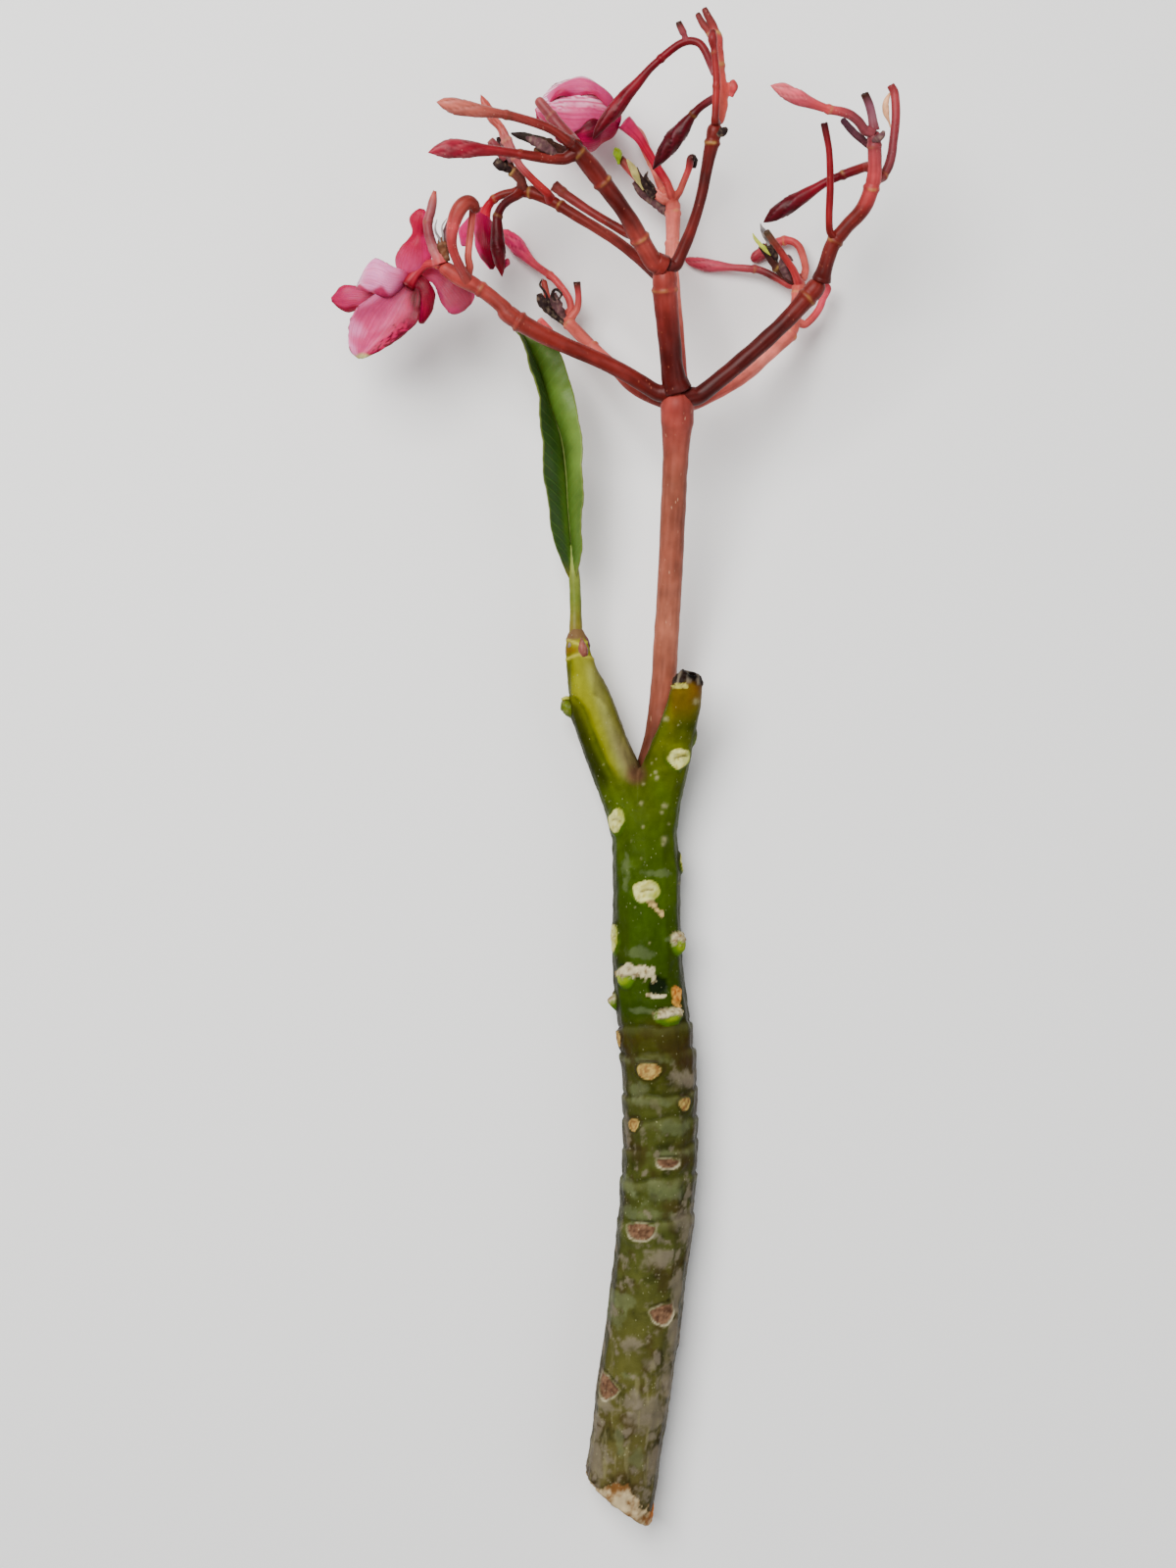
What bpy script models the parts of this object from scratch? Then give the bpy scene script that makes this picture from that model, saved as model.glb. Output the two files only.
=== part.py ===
"""A plumeria cutting, laid down: a woody stem with one leaf and a many-branched flower cluster.

Lengths in the tables are millimetres. +Y runs along the woody stem towards the flowers, +Z is up.
Every route is a list of (x, y, z, radius), from where the piece grows to its tip.
"""

import math

import bmesh
import bpy
from mathutils import Matrix, Vector

MM = 0.001
GAP = 0.32                 # free space between two pieces that grow from each other
STEP = 0.25                # spacing of the samples along a route
THIN_SIDES = 2             # bevel resolution of a pedicel or stub: 8 sides
THICK_SIDES = 4            # bevel resolution of the woody stem and main branches: 12 sides
RING_SPACING = 2.2         # rings along a thin stem, in diameters
DOME_ANGLES = (42, 78)   # sections of a rounded end, in degrees past the full section
PETAL_THICKNESS = 0.8
LEAF_THICKNESS = 0.9

# colour, roughness
FINISHES = {
    "bark": ((0.075, 0.085, 0.035), 0.6),
    "leaf_green": ((0.035, 0.11, 0.03), 0.45),
    "stalk_red": ((0.30, 0.085, 0.06), 0.4),
    "branch_red": ((0.22, 0.045, 0.035), 0.4),
    "branch_salmon": ((0.62, 0.20, 0.16), 0.45),
    "pedicel_mauve": ((0.35, 0.11, 0.12), 0.45),
    "bud_crimson": ((0.16, 0.004, 0.02), 0.4),
    "bud_pink": ((0.55, 0.09, 0.14), 0.45),
    "dried": ((0.06, 0.03, 0.025), 0.7),
    "petal_pink": ((0.75, 0.16, 0.30), 0.55),
    "petal_pale": ((0.85, 0.50, 0.55), 0.55),
    "petal_red": ((0.45, 0.01, 0.05), 0.5),
}

TRUNK = [
    (6, -225, 10.4, 10.3), (8, -212, 10.4, 10.4), (10.5, -194, 10.6, 10.5), (13.5, -173, 10.8, 10.8),
    (18, -140, 10.9, 10.9), (20.5, -112, 10.8, 10.8), (20.5, -81, 10.8, 10.7), (17.5, -56, 10.9, 10.3),
    (17, -34, 11.2, 9.8), (16.5, -17, 11.5, 9.5), (15.5, -7, 11.6, 8.6),
]
LEFT_SHOOT = [
    (14.5, -12.5, 11.5, 8.4), (12, -5, 11.8, 7.7), (9, 1, 12, 7), (4.5, 12, 12.8, 6.6),
    (2, 19, 13.2, 6.5), (0, 26, 13.6, 5.7), (-1.8, 32, 14, 4.3), (-3, 38.5, 14.4, 3.4), (-3.5, 42.5, 14.5, 2.5),
]
RIGHT_SHOOT = [
    (17.5, -12.5, 12, 8.4), (20, -3, 14, 7.3), (23, 7, 17, 6.4), (25, 14, 19.5, 5.5),
    (27, 21, 22, 5), (28, 27, 24, 4.5), (29, 31.5, 25.5, 3.4),
]
CUT_THROUGH = (9, -206, 10)      # the foot of the stem is cut off on a slant through this point
CUT_SLANT = 38                   # degrees between the cut and a square cut

# name, finish, route
MAIN_STEMS = [
    ("flower_stalk", "stalk_red", [
        (17, 2, 9, 2.8), (19.3, 12, 10, 3.2), (21.2, 23, 12, 3.5), (22, 33, 14.3, 3.6), (23.5, 61, 21.5, 3.5),
        (24.5, 88, 29.5, 3.6), (24.8, 97, 32.3, 4), (25, 101.5, 33.7, 4.8), (25, 104.6, 34.7, 4.7)]),
    ("centre_branch", "branch_red", [
        (24.5, 106, 35.5, 3), (23.5, 114.5, 38.5, 3.1), (22, 126, 43, 3.2), (21.2, 134, 46, 3.4), (21, 137.5, 47.5, 3.4)]),
    ("left_branch", "branch_red", [
        (25, 106, 34.5, 2.3), (21, 107.5, 35, 2.3), (7.5, 115, 37.5, 2.2), (-8, 121.5, 40, 2.3),
        (-17.5, 126, 41.5, 2.6), (-21, 128.2, 42, 2.6), (-24, 131.5, 43, 2), (-28, 134.5, 43.5, 2), (-32, 137, 44, 2.4),
        (-36, 139, 44.5, 2.3), (-38.5, 140.6, 45, 2)]),
    ("right_branch", "branch_red", [
        (26.5, 105.5, 34.5, 2.4), (29.5, 106.5, 35, 2.4), (38.6, 113.5, 36.5, 2.4), (48.2, 121.5, 38, 2.4),
        (56.2, 129, 39.5, 2.4), (60.8, 134, 40.5, 2.7), (62.6, 136.2, 41, 2.7)]),
    ("left_rear_branch", "branch_salmon", [
        (24, 105, 32, 1.6), (21, 106.5, 30, 1.6), (14.5, 110.3, 25.5, 1.7), (11, 113.7, 23, 1.7), (6.4, 119.2, 20, 1.7),
        (1.5, 124.3, 16.5, 1.8), (-4.3, 131, 12, 1.8), (-6, 133.2, 10.7, 2), (-8.5, 135.5, 9.5, 1.5), (-10.5, 137, 9, 1.3),
        (-11.5, 140, 8.5, 1), (-12.5, 144.5, 8.5, 0.9)]),
    ("right_rear_branch", "branch_salmon", [
        (26.5, 105.5, 32, 1.6), (30.5, 106.2, 30.5, 1.6), (37, 110, 27, 1.7), (44.5, 115, 23, 1.7), (50.5, 121, 19, 1.8),
        (55.5, 126, 15.5, 1.8), (59, 130.5, 12.5, 2), (59.8, 135.5, 11, 1.8), (60.5, 140.5, 9.5, 1.8), (61, 144, 8.5, 1.9)]),
    ("centre_rear_branch", "branch_salmon", [
        (26.5, 107.5, 31, 1.9), (25.5, 124, 26, 1.9), (24.5, 138.5, 21.5, 1.9), (24, 149, 18.5, 1.9),
        (24.5, 160, 15.5, 2.1), (24.5, 164, 14.5, 2.3), (24.5, 166, 14, 1.8)]),
    ("centre_left_branch", "branch_red", [
        (20.5, 137.5, 48.5, 2.4), (16, 144, 52, 2.5), (13.5, 147.5, 55, 2.6), (11.5, 151, 57.5, 2.3), (8, 155, 60.5, 2.2),
        (4.5, 159, 63.5, 2.4), (0.5, 163.5, 66.5, 2.5), (-2, 166, 68, 2.5), (-3.5, 167.5, 69, 1.9)]),
    ("centre_right_branch", "branch_red", [
        (22, 137, 47, 1.8), (25, 143, 49, 1.8), (27.5, 148.5, 51, 1.6), (29.5, 154, 53, 1.5), (31, 159.5, 54.5, 1.5),
        (32, 165, 56, 1.6), (33.3, 171, 58, 1.9), (34, 174.5, 59, 2.1)]),
    ("far_left_branch", "branch_red", [
        (20.5, 137.5, 45, 1.6), (18, 140.5, 42, 1.6), (13.5, 145.5, 38, 1.5), (7, 151.5, 34, 1.5), (0, 156.5, 31, 1.5),
        (-8.5, 162.3, 28.5, 1.6), (-12, 164.5, 27.5, 1.7), (-15, 165.7, 27, 1.8), (-18, 166.3, 26.3, 1.6)]),
    ("right_upper_branch", "branch_red", [
        (62.8, 135.5, 41.5, 2), (64.3, 139, 42.5, 2), (65.8, 143.2, 44, 2), (67.2, 147.6, 45.5, 2.1), (70.2, 151.2, 47, 2),
        (73.3, 154.2, 48.5, 2.1), (76, 158.2, 50, 2.1), (77.3, 163, 52, 2.1), (77.4, 170, 54.5, 1.8), (77, 173.5, 56, 1.9)]),
]

FINE_STEMS = [
    ("left_end_stub", "pedicel_mauve", [
        (-38, 140.5, 45, 2), (-40.5, 143.5, 45.5, 1.7), (-42.5, 147.5, 46, 1.4), (-43.5, 152.5, 46.5, 1.3),
        (-42.5, 156.5, 47, 1.3), (-42, 159, 47.5, 1.1), (-41.5, 161, 48, 0.5)]),
    ("left_hooked_bud", "bud_pink", [
        (-31, 136.5, 44.5, 1.1), (-33, 138, 47.5, 1.1), (-35, 140.5, 50, 1.1), (-36.5, 144, 52, 1.1), (-36.5, 148, 53, 1.1),
        (-35, 152, 54, 1.2), (-33, 156, 54.5, 1.7), (-31.3, 157.5, 54, 1.6), (-30.3, 156.2, 52.6, 0.9)]),
    ("left_straight_stub", "pedicel_mauve", [
        (-31, 137, 44, 1.1), (-32, 140.5, 45.5, 1.1), (-32.5, 143.5, 47, 1), (-32, 148, 48, 1), (-31, 157, 49, 1)]),
    ("left_flower_tube", "pedicel_mauve", [
        (-38.5, 140.6, 43.5, 1.1), (-40.5, 142.5, 40.5, 1.1), (-43.5, 143.7, 37.5, 1.2), (-46, 143, 35.5, 1.3),
        (-48.5, 140.5, 34.3, 1.7), (-50, 138.5, 33.8, 2.5)]),
    ("left_rear_bud", "bud_pink", [
        (-5, 133, 10.7, 1.1), (-4.8, 137, 10, 1.1), (-5.5, 140, 9.5, 1.1), (-7.5, 143, 9, 1.1), (-10, 146, 8.3, 1.1),
        (-12.5, 148, 7.2, 1.1), (-16, 151, 5.5, 1.2), (-18.5, 154, 3.8, 1.9), (-21, 157, 2.4, 2.4), (-23.5, 159.5, 2.4, 1.9),
        (-25, 160.8, 2.2, 0.9), (-25.6, 161.3, 2.1, 0.2)]),
    ("left_rear_stub", "branch_salmon", [
        (-4, 133, 10.7, 1), (-2.8, 137, 11.8, 1), (-2.6, 140, 12.6, 0.9), (-3, 143.5, 13.5, 1.1)]),
    ("cluster_upper_bud", "bud_pink", [
        (-2.5, 166.5, 69, 1.3), (-6, 169, 72, 1.3), (-10, 171, 74.5, 1.2), (-15.5, 172.3, 77, 1.2), (-20, 173, 79, 1.2),
        (-24, 173.3, 80.5, 1.3), (-28, 173.6, 81.5, 1.7), (-32, 174, 82.5, 2.2), (-35.5, 174.6, 83.3, 1.9),
        (-37.7, 175, 83.8, 1), (-38.6, 175.1, 84, 0.2)]),
    ("cluster_lower_bud", "bud_pink", [
        (-3, 165, 67.5, 1.5), (-7, 164.5, 68.5, 1.5), (-11.5, 164.5, 69.8, 1.4), (-16.5, 165, 71, 1.3), (-19.5, 165.2, 72, 1.2),
        (-24, 165.5, 73, 1.3), (-28, 165.5, 74, 1.8), (-32.5, 165.5, 75, 2.5), (-36, 165.2, 76, 2.5),
        (-39, 164.6, 76.6, 1.5), (-41.2, 164, 77, 0.2)]),
    ("cluster_thick_stub", "pedicel_mauve", [
        (-2, 167, 67, 1.8), (-5, 171, 66.5, 1.7), (-8, 174.5, 66.5, 1.6), (-12.5, 180, 66.5, 1.4)]),
    ("cluster_dried_buds", "dried", [
        (-3.5, 166, 66, 1.3), (-8, 168, 63.5, 1.6), (-11.5, 170.5, 61.5, 1.6), (-15.5, 172.2, 60.5, 1.3),
        (-18.5, 173, 60, 0.9), (-20, 173.5, 59.8, 0.4)]),
    ("red_side_stub", "pedicel_mauve", [
        (13, 147.5, 53, 1.3), (10.7, 148.8, 52, 1.3), (1.5, 154.7, 50, 1.2), (-7, 160.7, 49, 1.4), (-9, 162.3, 49, 1.6)]),
    ("far_left_bud", "bud_pink", [
        (-8, 162, 29.5, 1.2), (-11.5, 165, 31, 1.2), (-15, 168, 32.5, 1.1), (-19, 172, 34, 1.1), (-21.5, 176.5, 35, 1.4),
        (-23.5, 180.5, 35.8, 1.3), (-24.7, 182.6, 36, 1.1), (-26.5, 184.5, 36.5, 1.4), (-28, 187.5, 37, 1.2),
        (-29, 189.3, 37.4, 0.7), (-29.4, 190.2, 37.5, 0.2)]),
    ("far_left_stub", "dried", [
        (-16.5, 165.5, 27.5, 1.4), (-18.5, 169, 27.5, 1.3), (-21, 172, 28, 1.3), (-23, 175.5, 28.8, 1.1), (-24.5, 180.5, 30, 1)]),
    ("drooping_flower_tube", "petal_red", [
        (-18, 166, 25.5, 1.1), (-21.5, 166.3, 25.5, 1.1), (-25, 165.5, 24.5, 1.2), (-27.3, 164, 23.8, 1.2),
        (-28.5, 162.2, 22.8, 1.4), (-29.3, 160.2, 21.8, 1.9)]),
    ("dark_bud", "bud_crimson", [
        (-18.5, 165.5, 27.5, 1.2), (-21, 164, 28.5, 1.2), (-23, 162.5, 29, 1.2), (-24.5, 160.5, 29.3, 1.2),
        (-25.3, 157.5, 29.5, 1.4), (-25.2, 153.5, 29, 1.9), (-25, 149.5, 28.5, 2.1), (-24.5, 145.5, 28, 1.4),
        (-24.1, 143.3, 27.6, 0.6), (-24, 142.4, 27.5, 0.2)]),
    ("red_top_stem", "branch_red", [
        (33.8, 174.5, 60.5, 1), (34, 177.5, 62, 1), (34.2, 187, 64, 1), (33.6, 193, 65.5, 0.9), (33, 198.6, 67, 0.9)]),
    ("arched_bud", "bud_crimson", [
        (35, 188.5, 57, 1), (33.5, 193.5, 53.5, 1.1), (32, 197.5, 52.5, 1.1), (30.3, 200, 52, 1.1), (28, 200.9, 51.5, 1.1),
        (25, 200.2, 51, 1.1), (22, 198.2, 50.5, 1.1), (19.5, 196.2, 50, 1.1), (17, 194, 49.5, 1.1), (14.5, 191.3, 49, 1.3),
        (10.5, 187, 48, 1.9), (7, 183, 47, 2.1), (3.7, 179.3, 46.4, 1.4), (2.2, 177, 46.1, 0.7), (1.6, 176, 46, 0.2)]),
    ("arch_hook_stub", "pedicel_mauve", [
        (28, 200.8, 51.8, 1), (26.2, 202.4, 52.5, 1), (25.2, 203.9, 53, 1.1), (24.6, 205.3, 53.5, 0.8)]),
    ("middle_bud", "bud_crimson", [
        (35.5, 184.5, 57, 1), (33.5, 184.3, 54, 1.1), (30.5, 182.8, 52, 1.1), (28, 180.5, 50.5, 1.3), (26, 178, 49.5, 2.1),
        (23, 174.5, 48, 2.6), (20, 170.5, 47, 1.6), (18.4, 168.4, 46.2, 0.7), (17.9, 167.6, 46, 0.2)]),
    ("red_upright_stem", "branch_red", [
        (66.5, 148, 46, 1), (65.6, 151.5, 49.5, 1), (65.5, 156.5, 51.5, 1), (65.5, 162.5, 53.3, 1), (65, 170, 55.3, 0.9),
        (63.5, 177, 57, 1)]),
    ("right_outer_stub", "pedicel_mauve", [
        (77.5, 160.5, 50.5, 1.3), (80, 164.5, 50, 1.3), (82, 168.5, 50, 1.3), (83, 175, 50.5, 1.2), (83.5, 181.5, 51, 1.2),
        (83, 187, 51.5, 1.2), (82, 188.6, 52, 1.1)]),
    ("right_top_stub", "pedicel_mauve", [
        (77, 173.5, 56, 1.2), (76.5, 177.5, 57.5, 1.2), (75.5, 181, 59, 1.2), (74, 184, 60.3, 1.1)]),
    ("right_top_bud", "bud_pink", [
        (76.5, 172.5, 55.5, 1.3), (74.5, 174.8, 57.5, 1.3), (72.5, 176.8, 59.5, 1.3), (69.5, 178.5, 61, 1.3), (66.5, 179, 62, 1.3),
        (63.5, 179.3, 63, 1.2), (60, 180.3, 64, 1.4), (56.5, 181.3, 65, 2), (53.5, 182.6, 65.8, 2.2), (51, 183.6, 66.5, 1.6),
        (49.3, 184.1, 66.9, 0.8), (48.5, 184.3, 67, 0.2)]),
    ("right_dark_stub", "dried", [
        (76.5, 171.5, 53.5, 1), (74, 174.5, 51.5, 1), (71.5, 177, 50.5, 1), (69.5, 179.5, 50, 0.9)]),
    ("right_lower_bud", "bud_crimson", [
        (77, 166.8, 52.5, 1.3), (75, 167, 50.5, 1.3), (71.5, 166.2, 48.5, 1.3), (68.5, 165.3, 47.2, 1.2), (65.5, 164.2, 46.5, 1.2),
        (61.5, 162, 45.5, 1.5), (57, 159.3, 44.5, 2.2), (52.5, 156.7, 43.5, 2.2), (49.7, 154.8, 43.1, 1.1),
        (48.4, 153.9, 43, 0.2)]),
    ("right_rear_curl", "branch_salmon", [
        (59.5, 131, 11.5, 1.1), (62.5, 132, 10.5, 1.1), (65.5, 135, 9, 1.1), (67.5, 138.5, 8, 1.1), (69, 144, 7.5, 1)]),
    ("right_rear_red_stub", "branch_red", [
        (61, 143, 9.5, 1.1), (59.5, 146.5, 12, 1.1), (56.5, 150.5, 14, 1), (51, 157, 17.5, 1)]),
    ("right_rear_looped_bud", "branch_salmon", [
        (61, 143.5, 7.8, 1.1), (63, 148, 6.3, 1.1), (62.7, 152, 5, 1.1), (61.3, 156, 4, 1.1), (59, 157.8, 3.3, 1.1),
        (57, 158, 2.7, 1.3), (54, 156.5, 2.1, 1.7), (51, 154.5, 2, 1.9), (49, 153.2, 2, 1.7), (47.8, 152.5, 2, 0.8)]),
    ("right_rear_dark_stub", "dried", [
        (60.5, 143, 9.3, 1.2), (57.5, 146, 9.5, 1.2), (54.5, 148.5, 10, 1.2), (50, 154.5, 11.5, 1)]),
    ("right_rear_long_bud", "bud_pink", [
        (60.5, 142.5, 7.8, 1.1), (56, 145.5, 6.5, 1.1), (53, 147.3, 5.8, 1.1), (50, 148.8, 5.2, 1.1), (47, 149.3, 4.8, 1.1),
        (41, 150, 3.8, 1.1), (38, 150.4, 3, 1.6), (34.5, 151, 2.2, 1.9), (31.5, 151.7, 2.1, 1.6), (29, 152.5, 2, 0.9),
        (28.1, 152.8, 2, 0.2)]),
    ("centre_rear_left_stub", "branch_salmon", [
        (24, 165.3, 14, 1.4), (19, 169.5, 13, 1.3), (14.5, 173.5, 13, 1.3), (9.5, 179, 13, 1.2)]),
    ("centre_rear_bud", "branch_salmon", [
        (24, 166, 13, 1.3), (21.7, 170.5, 10.5, 1.3), (19.5, 176.5, 8.7, 1.1), (17.5, 181, 7.7, 1.1), (16, 185.5, 7.2, 1.6),
        (14.7, 188.5, 7, 1.1), (14.2, 190, 7, 0.4)]),
    ("upper_flower_tube", "petal_red", [
        (24.5, 166, 15, 1.2), (23, 170.5, 16.7, 1.2), (20, 175, 18.2, 1.2), (17, 179.5, 19.5, 1.3), (14, 183.8, 20.7, 1.6),
        (10.5, 187, 21.7, 2.3)]),
    ("centre_rear_right_stub", "branch_salmon", [
        (25, 166, 15, 1.1), (27, 170.5, 17, 1), (28.5, 174, 18.5, 1), (29.7, 177.6, 20.2, 1.1)]),
]

# one solid made of several stems that grew together: name, finish, routes
FORKED_STEMS = [
    ("pink_top_stem", "branch_salmon", [
        [(34.5, 174.5, 58.3, 1.3), (35.6, 178, 57.3, 1.3), (36.4, 183, 57, 1.6), (36, 187, 57, 1.6), (35.5, 192, 57.5, 1.4),
         (34.8, 199.5, 58.5, 1.5), (33.6, 202.5, 59.5, 1.2), (32, 205, 60.5, 1.1), (31, 206.8, 61, 0.9)],
        [(34.8, 198.5, 58, 1.2), (33.2, 201.3, 56.6, 1.2), (31.5, 203.4, 55.8, 1.2), (29.5, 207.2, 55, 0.9)],
        [(36.2, 183.5, 57, 1.1), (37.4, 184.8, 56.7, 1.1), (38.3, 186.6, 56.5, 1), (38.7, 188.3, 57, 0.7)]]),
]

# petals: name, finish, faces, cup in degrees, stations of (x, y, z, half width) from the throat to the tip
LEFT_FLOWER = [
    ("left_flower_top_petal", "petal_pale", (0.3, 0.2, 1), 50, [
        (-51.1, 141.6, 34.9, 1), (-50.6, 146, 37.5, 1.9), (-48.4, 151, 40, 2.3), (-45.8, 155.5, 41, 1.9), (-44.6, 157.8, 41, 0.7)]),
    ("left_flower_pale_petal", "petal_pale", (-0.1, 0.2, 1), 40, [
        (-52.2, 139.3, 36.1, 1.2), (-55.8, 140, 38.2, 3), (-59, 140.5, 38.7, 4), (-61.5, 140.6, 38.3, 3.3), (-63.3, 140.3, 37.8, 1.4)]),
    ("left_flower_far_petal", "petal_pink", (-0.2, 0, 1), 35, [
        (-52, 138.5, 32.4, 1.2), (-58, 137.5, 30.5, 2.6), (-63, 136.7, 29.5, 3.2), (-68, 136.5, 28.5, 2.7), (-72, 135.8, 28, 0.9)]),
    ("left_flower_broad_petal", "petal_pink", (-0.25, -0.1, 1), 45, [
        (-50.9, 137.2, 34.3, 1.6), (-54.3, 131.5, 36.4, 4.6), (-58.2, 126.8, 36.4, 6.8), (-62, 122.6, 35, 5.6), (-64.5, 119.5, 33.3, 2)]),
    ("left_flower_right_petal", "petal_red", (0.6, 0, 1), 60, [
        (-47, 137, 34.7, 1.1), (-45, 134, 34, 2), (-44.6, 130.3, 32.5, 2.2), (-46.3, 127.2, 30.5, 0.8)]),
    ("left_flower_rear_petal", "petal_pale", (0.1, 0.1, 1), 35, [
        (-47.7, 139.3, 31.7, 1.2), (-42.6, 138.8, 28.7, 2.7), (-38, 136, 28, 3.4), (-34.6, 132.8, 28, 1.8)]),
]
UPPER_FLOWER = [
    ("upper_flower_outer_petal", "petal_pale", (0, 0.25, 1), 150, [
        (9.2, 188.4, 22.7, 2), (4.5, 192.5, 28.5, 5.2), (-1.5, 193.5, 31, 6.8), (-7.5, 192, 29.5, 6.6), (-11.7, 188, 26, 3.4)]),
    ("upper_flower_lower_petal", "petal_red", (0.1, -1, 0.5), 130, [
        (8.2, 186, 20.2, 1.6), (5, 182.5, 22, 4), (0, 179.8, 24, 5.2), (-5.5, 180.5, 24.5, 4.8), (-10, 183.3, 23.8, 1.8)]),
    ("upper_flower_rear_petal", "petal_pink", (0, 0.1, -1), 120, [
        (8, 188.6, 18.8, 1.6), (4, 189, 15.5, 4.4), (-1.5, 188.5, 13.8, 5.4), (-7, 187.5, 15.5, 4.4), (-10.5, 186.5, 18.5, 1.6)]),
]
DROOPING_FLOWER = [
    ("drooping_flower_front_petal", "petal_red", (0.1, 0, 1), 100, [
        (-29.7, 158.7, 23, 1.6), (-30.2, 154, 24.2, 2.7), (-29.2, 149.5, 24.3, 2.4), (-28.2, 144.8, 23.7, 0.8)]),
    ("drooping_flower_left_petal", "petal_pink", (-1, 0, 0.7), 60, [
        (-31.6, 159.2, 21, 0.9), (-34.2, 156, 20.2, 1.6), (-35.5, 153, 19.2, 1.7), (-36, 150.8, 18.4, 0.7)]),
    ("drooping_flower_rear_petal", "petal_red", (0.1, 0, -1), 80, [
        (-29.5, 158.7, 19.8, 1.4), (-30, 153.5, 17.7, 2.3), (-29, 149.5, 17.2, 2), (-28, 146, 17.5, 0.7)]),
]

# the leaf: stations of (x, y, z, half width, reach of the left half, reach of the right half) along the midrib
PETIOLE = [(-3.6, 42, 14.5, 2.1), (-3.6, 49, 14.5, 1.7), (-3.8, 56, 15, 1.6), (-4.1, 60, 15.4, 1.2)]
LEAF_STATIONS = [
    (-4, 58, 15.2, 1.2, 1, 0.8), (-4.6, 66.5, 16.3, 5, 4.4, 2.6), (-5.6, 78, 17, 7, 5.6, 4), (-6.3, 89, 17.6, 8.2, 6.3, 4.8),
    (-7.7, 98.5, 18.2, 8.6, 5.4, 5.7), (-10.6, 106, 19, 8.7, 3, 7.5), (-13.6, 115, 20.2, 8.8, 1.8, 8.1),
    (-16.7, 122, 21.6, 8.8, 1.2, 8.5), (-19.4, 127.6, 23, 4.6, 1, 4.4), (-21, 130.5, 24, 1, 0.5, 0.9),
]


def start_empty():
    for thing in list(bpy.data.objects):
        bpy.data.objects.remove(thing)


def new_collection(name):
    group = bpy.data.collections.new(name)
    bpy.context.scene.collection.children.link(group)
    return group


def make_finishes():
    finishes = {}
    for name, (colour, roughness) in FINISHES.items():
        finish = bpy.data.materials.new(name)
        finish.use_nodes = True
        shader = finish.node_tree.nodes["Principled BSDF"]
        shader.inputs["Base Color"].default_value = (*colour, 1)
        shader.inputs["Roughness"].default_value = roughness
        shader.inputs["Metallic"].default_value = 0
        finishes[name] = finish
    return finishes


def curve_through(points, spacing):
    """Samples a smooth curve through the points, about one every `spacing`; each point is a list of numbers."""
    points = [Vector(p) for p in points]
    ends = [2 * points[0] - points[1], *points, 2 * points[-1] - points[-2]]
    samples = []
    for before, a, b, after in zip(ends, ends[1:], ends[2:], ends[3:]):
        count = max(1, round((b - a).length / spacing))
        for step in range(count):
            t = step / count
            samples.append(0.5 * (2 * a + (b - before) * t + (2 * before - 5 * a + 4 * b - after) * t ** 2
                                  + (3 * a - before - 3 * b + after) * t ** 3))
    samples.append(points[-1])
    return samples


def centre(sample):
    return Vector(sample[:3])


def tangent(samples, index):
    before = centre(samples[max(index - 1, 0)])
    after = centre(samples[min(index + 1, len(samples) - 1)])
    return (after - before).normalized()


def free_space(point, samples):
    """Distance from a point to the surface of a stem."""
    return min((point - centre(s)).length - s[3] for s in samples)


def seat(samples, others, reach):
    """Moves a stem's start along its route, past the stems it grows from, to where its round end just clears them."""
    middle = centre(samples[0])
    near = [other for other in others if free_space(middle, other) < reach + GAP]
    blocked = [i for i, s in enumerate(samples)
               if (centre(s) - middle).length < reach
               and any(free_space(centre(s), other) < s[3] + GAP for other in near)]
    return samples[blocked[-1] + 1:] if blocked else samples


def dome(samples, index):
    """Sections that close a stem with a half sphere, beyond its first sample (index 0) or its last (index -1)."""
    end = samples[index]
    outward = tangent(samples, index % len(samples)) * (1 if index else -1)
    sections = []
    for angle in DOME_ANGLES:
        middle = centre(end) + outward * end[3] * math.sin(math.radians(angle))
        sections.append(Vector((*middle, end[3] * math.cos(math.radians(angle)))))
    return sections


def rounded(samples, start=True, end=False):
    first = dome(samples, 0)[::-1] if start else []
    last = dome(samples, -1) if end else []
    return [*first, *samples, *last]


def thin_out(samples, spacing_in_diameters):
    """Keeps a section every so many diameters, and the last."""
    kept = [samples[0]]
    for sample in samples[1:-1]:
        far = (centre(sample) - centre(kept[-1])).length
        change = abs(sample[3] - kept[-1][3])
        room = (centre(samples[-1]) - centre(sample)).length
        if far > spacing_in_diameters * 2 * max(sample[3], 0.9) or (change > 0.45 and far > 0.8):
            if room > 0.6:
                kept.append(sample)
    return [*kept, samples[-1]]


def tube(name, samples, sides, finish, group):
    curve = bpy.data.curves.new(name, "CURVE")
    curve.dimensions = "3D"
    curve.bevel_depth = MM
    curve.bevel_resolution = sides
    curve.use_fill_caps = True
    spline = curve.splines.new("POLY")
    spline.points.add(len(samples) - 1)
    for point, (x, y, z, radius) in zip(spline.points, samples):
        point.co = (x * MM, y * MM, z * MM, 1)
        point.radius = radius
    curve.materials.append(finish)
    stem = bpy.data.objects.new(name, curve)
    group.objects.link(stem)
    return stem


def as_mesh(thing):
    """Turns a curve, or a mesh with modifiers, into a plain welded mesh."""
    bpy.context.view_layer.update()
    evaluated = thing.evaluated_get(bpy.context.evaluated_depsgraph_get())
    mesh = bpy.data.meshes.new_from_object(evaluated)
    weld = bmesh.new()
    weld.from_mesh(mesh)
    bmesh.ops.remove_doubles(weld, verts=weld.verts, dist=0.00001)
    weld.to_mesh(mesh)
    weld.free()
    solid = bpy.data.objects.new(thing.name + "_solid", mesh)
    solid.matrix_world = thing.matrix_world
    for group in thing.users_collection:
        group.objects.link(solid)
    name = thing.name
    bpy.data.objects.remove(thing)
    solid.name = name
    return solid


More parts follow.
